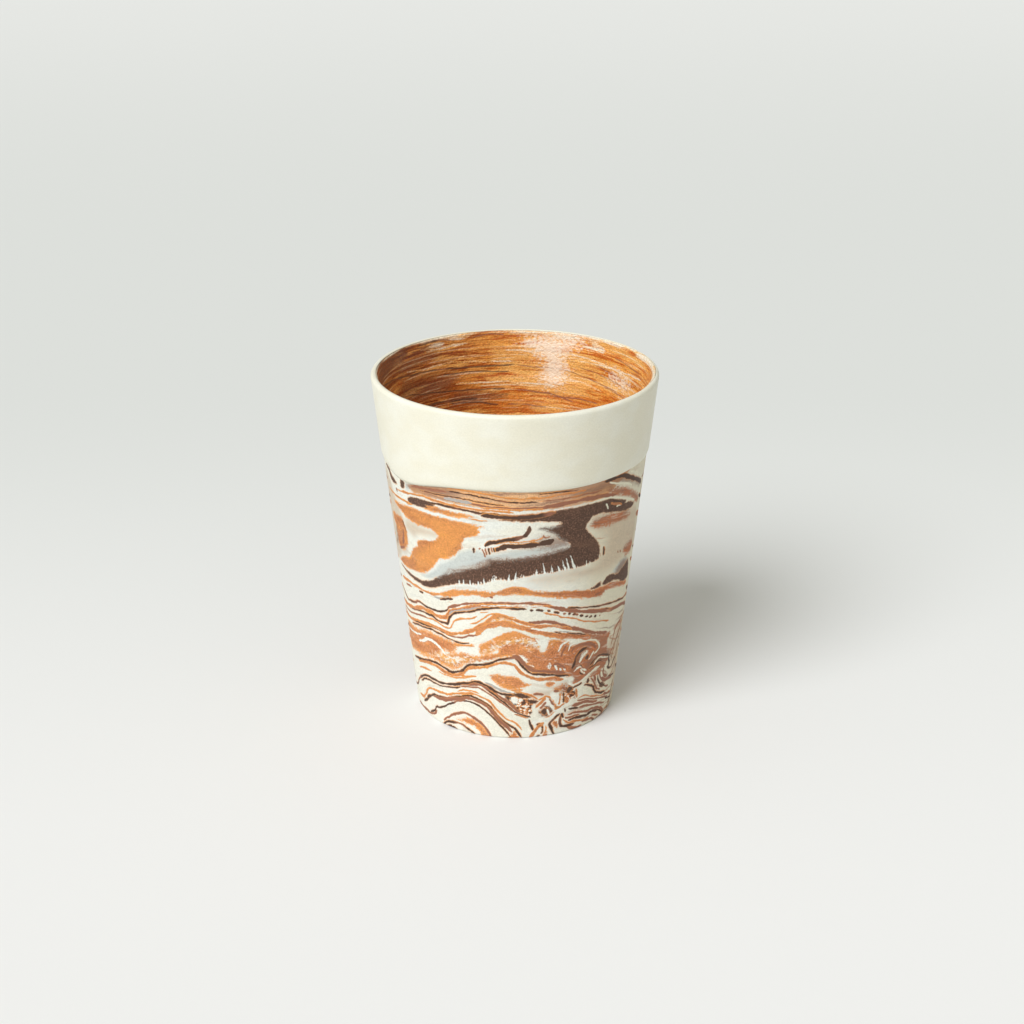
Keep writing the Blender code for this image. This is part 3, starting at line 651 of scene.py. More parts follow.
        26.4, 7, 24.5, 6.4, 23, 5.8, 21.5, 5.2, 20.3, 4.7, 20.2, 3.9, 20.9, 3, 21.6, 1.9, 22.4, 1,
        23.6, 0.2,
    )),
    Stroke("dark", 0.45, (
        27, 6.8, 26.6, 5.4, 26.4, 4.2, 26.8, 3.2, 28, 2.6, 30, 2.3, 32, 2.2, 34, 2.3, 36.4, 2.4,
    )),
    Stroke("dark", 0.31, (27.2, 7, 28, 5.9, 28.8, 5.2)),
    Stroke("ochre", 0.3, (28.4, 4.8, 32, 3.3, 37.9, 3, 42.8, 2.3, 47.6, 2.4)),
    Stroke("brown", 0.26, (29.4, 5.6, 31, 5, 36, 4.9, 40, 4.8)),
    Stroke("brown", 0.24, (50, 2.6, 54, 1.8, 57, 1.4)),
    Stroke("dark", 0.32, (31.4, 4.1, 35.5, 4.1, 39, 4, 44.8, 3.5, 48, 3.8, 51.6, 3.7, 55, 2.9)),
    Stroke("brown", 0.34, (32, 1.7, 34, 1.4, 36, 1.1, 39, 0.7)),
    Stroke("brown", 0.34, (
        31, 6, 37.4, 5.8, 45, 4.9, 49.4, 4.9, 54, 4.3, 59, 3.1, 62, 1.6, 60.6, 0.6, 57, 0.6,
    )),
    Stroke("dark", 0.34, (31, 7.9, 33, 7.7, 35.5, 7.5, 38.4, 7.2)),
    Stroke("brown", 0.4, (33, 8.5, 38, 8.5, 44, 8.2, 50, 7, 54, 6.4)),
    Stroke("brown", 0.28, (38, 7.4, 44, 6.9, 50, 6.1, 58, 4.9, 63, 4)),
    Stroke("dark", 0.23, (28.6, 8.4, 29.4, 7.8, 29.6, 7.2)),
    Stroke("brown", 0.24, (36.6, 10, 38.6, 9.5, 44, 9.1, 51, 7.8, 58.8, 6.6, 67.6, 5.1)),
    Stroke("ochre", 0.2, (37, 10.3, 40.5, 10.7, 43.5, 10.5, 48, 9.2, 53, 8.4, 58, 7.5, 65, 6.7, 70.4, 6)),
    Stroke("dark", 0.3, (
        40.6, 14.3, 43, 14, 45, 13.5, 47, 13, 48.5, 12.2, 49.5, 11, 51, 10, 53, 9.4, 56, 8.8, 62, 7.9,
    )),
    Stroke("dark", 0.42, (43.3, 16, 43.8, 15.2, 43, 14.4)),
    Stroke("brown", 0.32, (45.6, 15.8, 47.5, 14.6, 49, 13.4, 50.5, 12, 52, 10.9, 56, 9.8)),
    Stroke("brown", 0.4, (47.8, 16.2, 49.2, 15, 50.4, 13.6)),
    Stroke("dark", 0.3, (51.8, 15.4, 52.4, 14, 53.5, 12.9, 55, 11.9, 57, 11.2, 59, 10.6, 62, 9.6, 66, 8.7)),
    Stroke("brown", 0.46, (53.4, 16.4, 54.4, 14.8, 56, 13.5, 58.5, 12.4, 62, 11.8, 70, 11)),
    Stroke("brown", 0.34, (57, 16.8, 56.6, 15.2, 58, 13.9, 62, 13)),
    Stroke("dark", 0.36, (
        60.8, 20.6, 61.4, 18.6, 62.6, 17, 61.6, 16, 64, 15, 66.9, 15, 69, 16.2, 72.4, 17,
    )),
    Stroke("brown", 0.28, (
        84, 28.6, 78, 29.1, 73.5, 28.9, 68, 28.3, 65, 27.1, 64, 25.8, 63, 24.1, 62, 22.4,
    )),
    Stroke("brown", 0.24, (80, 27.6, 74, 26.3, 71, 25, 69, 23.7, 66.5, 22.6, 64.6, 21.2, 62, 19.9)),
    Stroke("dark", 0.2, (84, 25.3, 80.8, 24, 75.8, 22.9, 73, 21.4, 73, 19, 71.6, 16.8)),
    Stroke("white", 0.22, (82, 27, 76, 26.4, 72.4, 25.6, 70, 24.4, 67.6, 23.2, 65.4, 22, 63.4, 20.6)),
    Stroke("dark", 0.18, (76, 25.8, 72, 24.6, 69, 22.8, 67, 21.2, 65.6, 18.8, 65, 17.2)),
    Stroke("brown", 0.2, (80, 21, 76, 19, 74, 16, 71, 13.4, 68, 12.2, 63, 12.4)),
    Stroke("dark", 0.24, (74, 9, 73.2, 7.2, 72.6, 5.4, 70.6, 4, 69.6, 2.2, 67.8, 0.6)),
    Stroke("brown", 0.24, (78, 10, 76, 7, 74.6, 5, 73, 3, 71, 1.4)),
    Stroke("dark", 0.27, (27.3, 13.6, 27.5, 11.8, 27.8, 10.3)),
    Stroke("brown", 0.46, (26.8, 16, 27.4, 15, 28.6, 14.4)),
    Stroke("ochre", 0.57, (29.2, 12.2, 29.8, 11, 30.4, 10.1)),
    Stroke("ochre", 0.32, (35.4, 14, 36, 12.4, 36.6, 10.8)),
    Stroke("dark", 0.27, (33, 14.6, 36.4, 14.9, 39.2, 15.4)),
    Stroke("dark", 0.38, (41.6, 2, 46, 1.8, 50, 1.6, 52.8, 0.4)),
    Stroke("white", 0.3, (37, 20, 38.2, 19.5, 38, 19, 39, 18.6, 41, 18.2)),
    Stroke("dark", 0.22, (36.6, 19.4, 37.4, 18.8, 38.6, 18.2, 40, 17.9)),
    Stroke("white", 0.3, (58.6, 17.2, 59.4, 16, 60.6, 15.2)),
    Stroke("white", 0.26, (50.8, 15.6, 51.4, 14.2, 52.4, 12.8, 54, 11.8)),
    Stroke("white", 0.24, (54.6, 16, 55, 14.8, 56.4, 13.8)),
    Stroke("dark", 0.26, (50, 4.2, 54, 3.5, 58, 2.6, 60.6, 1.6, 61.6, 0.4)),
    Stroke("brown", 0.3, (31.4, 1.8, 33, 1.2, 35, 0.9, 38, 0.6, 42, 0.8)),
    Stroke("dark", 0.2, (63, 12.4, 67, 11.8, 74, 11)),
    Stroke("brown", 0.3, (60, 7.4, 66, 6.4, 72, 5.4)),
    Stroke("dark", 0.22, (63, 5.6, 68, 4.4, 74, 3.4)),
    Stroke("ochre", 0.3, (22.6, 8.9, 25, 9.2, 27, 9.7, 28.6, 10.1)),
    Stroke("white", 0.14, (-16, 42.9, -8, 43.4, 0, 43.5, 6, 43.4, 14, 42.9)),
]

# Lines that run across the joins of front and back
JOIN_STROKES = [
    Stroke("dark", 0.45, (74, 67, 80, 65.2, 88, 64.4, 97, 65.6, 106, 68, 114, 69)),
    Stroke("ochre", 0.7, (74, 61.4, 80, 60, 87, 59.2, 96, 60, 104, 61.6)),
    Stroke("brown", 0.3, (76, 72, 84, 71.6, 93, 72.6, 102, 74)),
    Stroke("ochre", 0.4, (79, 55, 86, 54.2, 93, 54.6, 99, 55.6)),
    Stroke("dark", 0.35, (77, 50.6, 84, 49.2, 92, 48.6, 101, 47.4, 110, 46.6)),
    Stroke("ochre", 0.5, (75, 47.2, 82, 45.6, 92, 44.6, 100, 45.4)),
    Stroke("dark", 0.5, (75, 38.2, 80, 37, 88, 37.4, 96, 38.6)),
    Stroke("ochre", 0.45, (76, 36, 84, 34.4, 92, 34.6, 101, 36.4)),
    Stroke("brown", 0.3, (76, 32.6, 82, 31.4, 90, 31, 98, 32)),
    Stroke("ochre", 0.6, (77, 24.6, 84, 22.6, 91, 22, 99, 23.4, 107, 23)),
    Stroke("brown", 0.4, (78, 19.4, 85, 17.4, 93, 18, 101, 20.4)),
    Stroke("dark", 0.4, (76, 13, 84, 11.4, 92, 11.8, 101, 14.4)),
    Stroke("ochre", 0.4, (78, 6, 86, 5, 95, 6.2, 104, 8.4)),
    Stroke("dark", 0.45, (-75, 66, -80, 65.2, -87, 66, -94, 67.6, -101, 69.6)),
    Stroke("ochre", 0.7, (-75, 64, -81, 62.8, -89, 62.6, -97, 64)),
    Stroke("brown", 0.3, (-75, 71, -82, 71, -89, 72, -97, 73.6)),
    Stroke("ochre", 0.4, (-76, 53.8, -83, 53.4, -90, 54.2, -98, 56)),
    Stroke("ochre", 0.5, (-75, 46.8, -81, 47.2, -88, 48.4, -95, 49.6)),
    Stroke("dark", 0.4, (-75, 41.2, -81, 40.6, -88, 40.6, -96, 40)),
    Stroke("ochre", 0.5, (-76, 37.8, -82, 37.4, -89, 37.8, -97, 39)),
    Stroke("dark", 0.35, (-76, 33.8, -82, 32.4, -89, 31.4, -97, 31.6)),
    Stroke("brown", 0.35, (-77, 29, -84, 28, -92, 28.4, -100, 30)),
    Stroke("ochre", 0.6, (-75, 22.4, -83, 20.6, -91, 20.4, -99, 22.6)),
    Stroke("ochre", 0.4, (-76, 14, -83, 13, -91, 13.6, -99, 16)),
    Stroke("dark", 0.4, (-77, 8.6, -84, 8, -92, 9.4, -100, 12)),
    Stroke("brown", 0.3, (-78, 4, -86, 3.4, -95, 4.6, -102, 6.4)),
]

# How the layers of clay run, as lines of (direction, height) that the fine streaks follow
FLOW_LINES = [
    (
        -90, -3, -60, -2.5, -46, 0.2, -42, 1.7, -38, 2.3, -34, 2.8, -31, 2.6, -28, 1.8, -23, 0.2,
        -18, -2, 0, -3, 90, -3,
    ),
    (
        -90, 0, -60, 0.6, -50, 1.2, -45, 1.8, -40, 3.7, -35, 5.6, -29, 6.8, -24, 6.2, -18, 4.2, -13, 0,
        -8, -1.5, 0, -2, 90, -1.5,
    ),
    (
        -90, 2, -62, 1.9, -57, 2.4, -52, 3.5, -46, 5.7, -40, 7.8, -33, 10, -26, 11, -19, 9.9, -13, 7.6,
        -8, 4.6, -2, 0.8, 4, -0.8, 12, 0, 20, 0.5, 90, 0.5,
    ),
    (
        -90, 3, -64, 3.8, -56, 7.3, -50, 9.1, -41, 9.7, -34, 11.3, -24, 12.9, -18, 12, -13, 10.2,
        -9, 7.4, -3, 4.6, 3, 1.6, 8, 1, 14, 2.2, 20, 4, 28, 3, 40, 4, 52, 3, 90, 2,
    ),
    (
        -90, 4.4, -70, 5, -63, 6, -57, 9.6, -50, 11, -40, 11.6, -30, 13.3, -20, 14, -13, 12.4, -9, 9.8,
        -3, 7, 3, 5, 8, 5, 14, 5.4, 20, 5.6, 28, 6.6, 36, 6.6, 46, 5.4, 60, 4.5, 90, 4,
    ),
    (
        -90, 5, -80, 5.6, -67, 10.4, -57, 13.9, -45, 14.3, -35, 15.4, -25, 17.2, -19, 17.9, -12, 16.4,
        -7, 15, 0, 14.5, 7, 13.6, 13, 12, 18, 10, 24, 8.4, 30, 9, 36, 9.6, 44, 8.4, 54, 7, 70, 6, 90, 6,
    ),
    (
        -90, 11, -66, 14.5, -50, 17, -38, 17.4, -28, 18.8, -18, 21, -8, 20.6, 0, 19.4, 8, 17.2, 16, 15.6,
        24, 14.4, 36, 13.4, 44, 13.6, 50, 11, 60, 9, 76, 8.6, 90, 9,
    ),
    (
        -90, 16, -70, 17, -57, 19, -48, 20.2, -36, 19.2, -29, 20.3, -23, 23, -13, 24.3, -5, 26.2,
        0, 26.7, 4, 24.3, 8, 22, 15, 20.9, 24, 19.7, 30, 18.6, 36, 17, 44, 17.2, 52, 18.2, 60, 16.4,
        66, 14, 76, 13, 90, 13,
    ),
    (
        -90, 24, -75, 24.6, -62, 25, -54, 26.2, -48, 27.2, -42, 26.2, -36, 25, -30, 27, -22, 28.6,
        -14, 30.4, -6, 32, 2, 31, 10, 28.6, 18, 26.4, 26, 25.4, 33, 24.6, 40, 25.6, 48, 23, 58, 22.4,
        66, 20, 90, 19,
    ),
    (
        -90, 29.4, -68, 30, -54, 32.2, -47, 32.6, -35, 31.2, -28, 32.8, -21, 34.5, -13, 38, -8, 39.6,
        0, 38.3, 8, 37.3, 16, 37.4, 22, 36.2, 30, 34.6, 40, 31.8, 48, 29.8, 58, 28.4, 68, 28.6, 90, 27,
    ),
    (
        -90, 36, -78, 38, -67, 35.9, -58, 37.2, -53, 38.1, -46, 37.4, -38, 38, -33, 40.2, -25, 41.3,
        -10, 42.5, 0, 42.4, 16, 40.9, 28, 38.8, 38, 36.5, 48, 35.2, 60, 33, 76, 31.4, 90, 31,
    ),
    (
        -90, 43, -72, 42.6, -55, 43.2, -42, 43.8, -35, 44.4, -20, 46.2, -10, 46.6, 0, 47.2, 10, 46.8,
        20, 46, 30, 45, 40, 43.8, 52, 43.8, 60, 42.8, 74, 40.4, 90, 40,
    ),
    (
        -90, 46.5, -71, 46, -58, 45.2, -45, 45.2, -35, 47.6, -25, 49.6, -14, 51, 0, 52, 9, 53.2,
        25, 53.8, 40, 53.6, 50, 51, 60, 48, 72, 46, 90, 46,
    ),
    (
        -90, 56, -70, 56, -60, 57, -50, 55, -40, 54, -30, 53, -20, 54.6, -10, 57.6, 0, 58.4, 16, 60,
        26, 61, 36, 60, 46, 58, 60, 57, 76, 55, 90, 55,
    ),
    (
        -90, 66, -68, 66.4, -50, 66, -30, 66, -14, 66, 0, 67, 10, 67, 20, 67.6, 34, 66.6, 46, 66, 60, 65,
        76, 62, 90, 62,
    ),
    (
        -90, 71, -62, 71.2, -50, 72.2, -36, 73, -20, 72.5, 0, 72.2, 20, 72.4, 36, 72.6, 46, 72.4,
        56, 70.6, 68, 67.4, 90, 65,
    ),
    (-90, 78, -40, 77.4, -20, 78.5, 0, 78.8, 40, 78.4, 60, 76.6, 90, 72),
    (-90, 100, 90, 100),
]

# How each clay is told apart in the stroke attributes
TONES = {"white": -1.0, "grey": -0.5, "ochre": 0.0, "brown": 0.5, "dark": 1.0}

# Inside the cup. Directions count from the back towards +X, heights as above.
INNER_PATCHES = [
    Patch("umber", (
        -95, 96, -86, 98.4, -76, 99.6, -64, 99.8, -57, 99.4, -55, 98, -60, 96.6, -72, 95.4, -86, 94.6,
    )),
    Patch("umber", (-64, 95, -50, 95.4, -40, 95.6, -38, 94.8, -52, 94, -64, 93.6), 2),
    Patch("umber", (-30, 82.6, -16, 82.4, -4, 81, -14, 79.6, -30, 80), 2),
    Patch("umber", (-60, 90, -44, 88.6, -30, 88, -34, 84, -50, 84, -66, 86), 3),
    Patch("amber", (34, 99.2, 44, 99.2, 56, 99, 72, 98.2, 70, 96.8, 52, 97, 38, 97.8)),
    Patch("amber", (
        -12, 94.6, 2, 94.8, 20, 94.4, 44, 93.6, 66, 92.4, 62, 90.8, 40, 91.4, 16, 92, -8, 92.4,
    )),
    Patch("amber", (40, 90, 54, 88.8, 72, 87, 66, 85, 50, 86, 40, 87.6)),
    Patch("amber", (-14, 86.8, 4, 86.4, 22, 86, 22, 83.6, 4, 83.8, -12, 84.6)),
    Patch("pale", (
        -120, 100.6, -80, 100.6, 0, 100.6, 80, 100.6, 120, 100.6, 110, 99.1, 84, 98.8, 72, 98.9,
        60, 99.2, 46, 99.3, 34, 98.9, 28, 98.2, 24, 98, 14, 98.6, 0, 99.1, -8, 99.6, -14, 99.7,
        -18, 99.1, -24, 98.4, -30, 98.6, -36, 99.3, -52, 99.6, -66, 99.5, -80, 99.7, -110, 99.6,
    )),
    Patch("pale", (36, 98.4, 38.5, 98.6, 43, 97.6, 42, 97, 38, 97.2)),
    Patch("pale", (-47, 97.4, -40, 98, -34, 98.2, -34, 97.4, -42, 96.9)),
    # Painted sheen: the glaze's highlight, laid on as glints of pale colour
    Patch("sheen", (
        4, 96.6, 10, 98.4, 21, 99, 29, 98.6, 32, 97, 27, 95.2, 23, 93.6, 25, 91, 25, 88, 22, 84.6,
        15, 84, 12.6, 87.6, 13.6, 91, 8, 93.6,
    ), 2.6),
    # Painted sheen carried on below the sheen patch, in these two patches, as bright amber
    Patch("amber", (6, 91, 16, 91.4, 28, 90, 30, 86, 14, 84, 4, 86), 1.4),
    Patch("amber", (0, 88, 14, 88.6, 28, 87.6, 30, 84, 14, 82.6, 2, 84), 1.4),
    Patch("sheen", (50, 91.4, 58, 91.4, 64, 89.6, 60, 88, 50, 88.8), 3),
    Patch("pale", (32, 96.4, 38.5, 98, 44, 97.3, 43.4, 96, 38.8, 96.2)),
    # Painted sheen, fading out lower down, as bright amber
    Patch("amber", (6, 84.6, 17, 87, 34, 88.6, 40, 86.6, 34, 82.6, 18, 80.4, 6, 81.4), 2),
    Patch("amber", (-7, 92.8, 7, 93.4, 8, 89.8, -6, 89), 2),
    Patch("amber", (27, 91.4, 41, 93.6, 45, 91, 29, 88.2), 2),
]

INNER_STROKES = [
    Stroke("dark", 0.19, (
        -90, 94.6, -78, 93.4, -55.5, 91.6, -42.5, 91, -31.5, 90.2, -18, 89.8, -7, 89.8, 0, 89.8,
    )),
    Stroke("brown", 0.16, (0, 89.8, 8, 89.3, 20.8, 89.3, 31, 88.3, 42.5, 87.2, 56, 86.3)),
    Stroke("brown", 0.16, (39.5, 92.2, 54.8, 90.6, 66, 89.6)),
    Stroke("dark", 0.19, (-33, 80, -19, 79.2, -7.8, 78)),
    Stroke("dark", 0.15, (-66, 87, -42, 84.2, -23.8, 83.2, -4.2, 82.7)),
    Stroke("brown", 0.19, (18, 80.8, 32, 81.4, 43.5, 81.2)),
    Stroke("white", 0.15, (30.5, 92.4, 45, 92.6, 61.8, 92.8, 75.5, 93.4)),
    Stroke("white", 0.14, (-58, 92.9, -45, 91.9, -30, 92.1, -15, 91.1, 0, 90.8, 20, 90.2)),
    Stroke("white", 0.14, (-5, 94.2, 10, 94, 30, 93.8, 45, 93, 60, 92, 75, 91)),
    Stroke("brown", 0.19, (50, 95.8, 56, 95.6, 62, 95.2, 72, 94.6)),
    Stroke("brown", 0.15, (30, 90.6, 40, 90, 50, 89.2, 65, 88)),
    Stroke("brown", 0.15, (45, 86.6, 55, 86, 66, 85.2)),
    Stroke("white", 0.19, (-41.5, 96.8, -34, 96.7, -29, 96.8, -22, 96.7)),
    Stroke("dark", 0.28, (-50, 80.6, -40, 81, -30, 80.6, -18, 80.4)),
    Stroke("brown", 0.25, (0, 82.4, 10, 82, 20, 81.4, 30, 80.2)),
    Stroke("brown", 0.22, (-4, 78.2, 8, 77.8, 16, 77.4)),
    Stroke("white", 0.19, (-30, 85.4, -15, 85, 0, 84.6, 20, 84)),
    Stroke("dark", 0.19, (-48, 98.7, -42, 99, -34, 98.9, -30, 98.4)),
    Stroke("brown", 0.19, (-20, 98.2, -12, 99, -4, 98.6)),
    Stroke("dark", 0.14, (-36, 88.8, -20, 88.4, -2, 87.8)),
    Stroke("white", 0.15, (20, 87, 34, 86.2, 46, 85)),
]


class Nodes:
    """Adds nodes to a tree. An input that is given a socket is linked, and a plain value is set on it."""

    def __init__(self, tree):
        self.tree = tree

    def add(self, kind, inputs=None, **settings):
        node = self.tree.nodes.new(kind)
        for name, value in settings.items():
            setattr(node, name, value)
        for key, value in (inputs or {}).items():
            if isinstance(value, bpy.types.NodeSocket):
                self.tree.links.new(value, node.inputs[key])
            else:
                node.inputs[key].default_value = value
        return node

    def math(self, operation, a, b=0.0, clamp=False):
        return self.add("ShaderNodeMath", {0: a, 1: b}, operation=operation, use_clamp=clamp).outputs[0]

    def vector(self, operation, a, b=(0.0, 0.0, 0.0)):
        return self.add("ShaderNodeVectorMath", {0: a, 1: b}, operation=operation).outputs[0]

    def noise(self, place, size, stretch=1.0, detail=2.0, roughness=0.5):
        """Noise from 0 to 1, with features size metres high and stretch times as long."""
        flat = 1.0 / (size * stretch)
        inputs = {"Vector": self.vector("MULTIPLY", place, (flat, flat, 1.0 / size))}
        inputs.update({"Scale": 1.0, "Detail": detail, "Roughness": roughness})
        return self.add("ShaderNodeTexNoise", inputs).outputs[0]

    def ramp(self, value, low, high):
        """0 at low and 1 at high, held beyond them."""
        inputs = {"Value": value, "From Min": low, "From Max": high}
        return self.add("ShaderNodeMapRange", inputs, interpolation_type="SMOOTHSTEP").outputs[0]

    def mix(self, share, a, b):
        node = self.add("ShaderNodeMix", data_type="RGBA")
        for key, value in ((0, share), (6, a), (7, b)):
            if isinstance(value, bpy.types.NodeSocket):
                self.tree.links.new(value, node.inputs[key])
            else:
                node.inputs[key].default_value = value if key == 0 else (*value, 1.0)
        return node.outputs[2]

    def lay(self, colour, over, value, low, high, strength=1.0):
        """The colour, with another laid over it where the value rises from low to high."""
        share = self.ramp(value, low, high)
        if strength != 1.0:
            share = self.math("MULTIPLY", share, strength)
        return self.mix(share, colour, over)

    def shade(self, colour, value):
        """The colour made lighter or darker by a value about 1."""
        return self.add("ShaderNodeVectorMath", {0: colour, "Scale": value}, operation="SCALE").outputs[0]

    def attribute(self, name, output="Vector"):
        return self.add("ShaderNodeAttribute", attribute_name=name).outputs[output]

    def split(self, vector):
        return self.add("ShaderNodeSeparateXYZ", {0: vector}).outputs


def new_group(name, kind, inputs, outputs):
    """An empty node group with these named sockets, each with its type."""
    tree = bpy.data.node_groups.new(name, kind)
    for way, sockets in (("INPUT", inputs), ("OUTPUT", outputs)):
        for label, content in sockets.items():
            tree.interface.new_socket(label, in_out=way, socket_type="NodeSocket" + content)
    return tree


def wall_point(height, depth=0.0):
    """The point of a profile at this height, this deep inside the clay's outer face."""
    along = (height + depth * OUT.y) / UP.y
    return FOOT_POINT + UP * along - OUT * depth


def arc(centre, radius, start, end, steps):
    angles = [start + (end - start) * i / steps for i in range(steps + 1)]
    return [centre + radius * Vector((math.cos(a), math.sin(a))) for a in angles]


def run(start, end, spacing):
    """Points from start to end, the ends left out."""
    steps = max(1, round((end - start).length / spacing))
    return [start.lerp(end, i / steps) for i in range(1, steps)]


LIP_CENTRE = wall_point(HEIGHT - COAT - LIP_RADIUS, LIP_RADIUS)
FILLET_CENTRE = wall_point(FLOOR_TOP + FILLET, WALL + FILLET)
SEAT_RADIUS = FILLET_CENTRE.x


def turned_clay_tree():
    """Turns the profile that it is given about Z, with the shallow ridges that fingers leave."""
    inputs = {
        "Profile": "Geometry",
        "Columns": "Int",
        "Front Crowding": "Float",
        "Ridge Depth": "Float",
        "Ridge Pitch": "Float",
        "Plain Above": "Float",
        "Clay": "Material",
    }
    tree = new_group("Turned clay", "GeometryNodeTree", inputs, {"Turned": "Geometry"})
    nodes = Nodes(tree)
    given = nodes.add("NodeGroupInput").outputs
    rows = nodes.add("GeometryNodeAttributeDomainSize", {"Geometry": given["Profile"]}).outputs[0]
    seam_columns = nodes.math("ADD", given["Columns"], 1.0)
    grid = nodes.add("GeometryNodeMeshGrid", {"Vertices X": seam_columns, "Vertices Y": rows})
    index = nodes.add("GeometryNodeInputIndex").outputs[0]
    column = nodes.math("FLOOR", nodes.math("DIVIDE", index, rows))
    row = nodes.math("MODULO", index, rows)
    place = nodes.add("GeometryNodeInputPosition").outputs[0]
    sample = nodes.add("GeometryNodeSampleIndex", data_type="FLOAT_VECTOR")
    tree.links.new(given["Profile"], sample.inputs["Geometry"])
    tree.links.new(place, sample.inputs["Value"])
    tree.links.new(row, sample.inputs["Index"])
    even = nodes.math("MULTIPLY", nodes.math("DIVIDE", column, given["Columns"]), math.tau)
    crowd = nodes.math("MULTIPLY", nodes.math("SINE", even), given["Front Crowding"])
    angle = nodes.math("SUBTRACT", nodes.math("SUBTRACT", even, crowd), math.pi / 2)
    turn = nodes.add("ShaderNodeVectorRotate", rotation_type="Z_AXIS")
    tree.links.new(sample.outputs[0], turn.inputs["Vector"])
    tree.links.new(angle, turn.inputs["Angle"])
    point = turn.outputs[0]
    pitch = nodes.math("DIVIDE", 1.0, given["Ridge Pitch"])
    squash = nodes.add("ShaderNodeCombineXYZ", {"X": RIDGE_RATE, "Y": RIDGE_RATE, "Z": pitch}).outputs[0]
    ridge_inputs = {"Vector": nodes.vector("MULTIPLY", point, squash), "Scale": 1.0, "Detail": 1.0}
    ridge = nodes.add("ShaderNodeTexNoise", ridge_inputs).outputs[0]
    inward = nodes.vector("NORMALIZE", nodes.vector("MULTIPLY", point, (-1.0, -1.0, 0.0)))
    level = nodes.split(point)[2]
    below = nodes.math("SUBTRACT", given["Plain Above"], level)
    ridged = nodes.ramp(below, 0.0, RIDGE_FADE)
    depth = nodes.math("MULTIPLY", nodes.math("MULTIPLY", ridge, ridged), given["Ridge Depth"])
    push = nodes.add("ShaderNodeVectorMath", {0: inward, "Scale": depth}, operation="SCALE").outputs[0]
    placed = nodes.add(
        "GeometryNodeSetPosition",
        {"Geometry": grid.outputs["Mesh"], "Position": point, "Offset": push},
    )
    unrolled = nodes.add(
        "GeometryNodeStoreNamedAttribute",
        {"Geometry": placed.outputs[0], "Name": "OFBake"},
        data_type="FLOAT2",
        domain="CORNER",
    )
    tree.links.new(grid.outputs["UV Map"], unrolled.inputs["Value"])
    closed = nodes.add(
        "GeometryNodeMergeByDistance", {"Geometry": unrolled.outputs[0], "Distance": MERGE_DISTANCE}
    )
    outward = nodes.add("GeometryNodeFlipFaces", {"Mesh": closed.outputs[0]})
    smooth = nodes.add("GeometryNodeSetShadeSmooth", {"Geometry": outward.outputs[0]})
    real = nodes.add("GeometryNodeRealizeInstances", {"Geometry": smooth.outputs[0]})
    clay = nodes.add(
        "GeometryNodeSetMaterial", {"Geometry": real.outputs[0], "Material": given["Clay"]}
    )
    nodes.add("NodeGroupOutput", {"Turned": clay.outputs[0]})
    return tree


TURNED_CLAY = turned_clay_tree()


def turned_mesh(name, profile, material, ridge_depth, ridge_pitch):
    """A mesh turned from a closed profile that runs down its outer side."""
    line = bpy.data.meshes.new(name + "_profile")
    points = [(p.x, 0.0, p.y) for p in profile + profile[:1]]
    line.from_pydata(points, [(i, i + 1) for i in range(len(points) - 1)], [])
    spun = bpy.data.objects.new(name + "_turning", line)
    bpy.context.scene.collection.objects.link(spun)
    turning = spun.modifiers.new("turning", "NODES")
    turning.node_group = TURNED_CLAY
    values = {
        "Columns": COLUMNS,
        "Front Crowding": FRONT_CROWDING,
        "Ridge Depth": ridge_depth,
        "Ridge Pitch": ridge_pitch,
        "Plain Above": LIP_CENTRE.y,
        "Clay": material,
    }
    for item in TURNED_CLAY.interface.items_tree:
        if item.name in values:
            turning[item.identifier] = values[item.name]
    graph = bpy.context.evaluated_depsgraph_get()
    mesh = bpy.data.meshes.new_from_object(spun.evaluated_get(graph))
    bpy.data.objects.remove(spun)
    bpy.data.meshes.remove(line)
    mesh.name = name
    return mesh


def add_piece(name, mesh, node):
    piece = bpy.data.objects.new(name, mesh)
    bpy.context.scene.collection.objects.link(piece)
    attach(piece, "root")
    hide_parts(node)
    return piece


def places(mesh):
    """The mesh's vertices as an array of rows (x, y, z)."""
    flat = np.empty(len(mesh.vertices) * 3)
    mesh.vertices.foreach_get("co", flat)
    return flat.reshape(-1, 3)


def move_to(mesh, points):
    mesh.vertices.foreach_set("co", points.ravel())
    mesh.update()


def directions(points):
    """Directions round the cup in degrees, from the front (-Y) towards +X."""
    return np.degrees(np.arctan2(points[:, 0], -points[:, 1]))


def store(mesh, name, values):
    attribute = mesh.attributes.new(name, "FLOAT_VECTOR", "POINT")
    attribute.data.foreach_set("vector", values.astype(np.float32).ravel())


# How the drawing is turned into lines, in millimetres: the steps of a path, how far a patch's distances
# are known, how far a stroke's are, and the taper of its ends
STEP = 0.4
REACH = 6.0
PAINTED = 1.2
PAINT_MARGIN = 0.5
LEAST_LENGTH = 1e-9
LEAST_RADIUS = 0.001
TAPER = 1.4
TAPER_SHARE = 0.16
ROUNDING = 0.35
# Millimetres for each degree, at mid-height and at the foot
MIDDLE_SCALE = 0.57
FOOT_SCALE = 0.5
# The least height of a layer in the flow
LEAST_LAYER = 0.05
# How a stroke swells and how its tone wanders along its run
SWELL = 0.50
SWELLS = ((0.35, 1.0, 0.0), (1.3, 0.8, 3.0))
SWELL_SEED = 7.3
WANDER = 0.16
WANDER_SEED = 3.1
WANDER_LEVEL = 5.0
TONE_WANDER = {"dark": 0.9, "brown": 0.35}
# Offset, half-width and tone where there is no stroke
NO_STROKE = (1.0, -1.0, 0.0)


def drawn_places(path):
    """The places of a drawn path, as rows of direction and height."""
    return np.array(path, dtype=float).reshape(-1, 2)


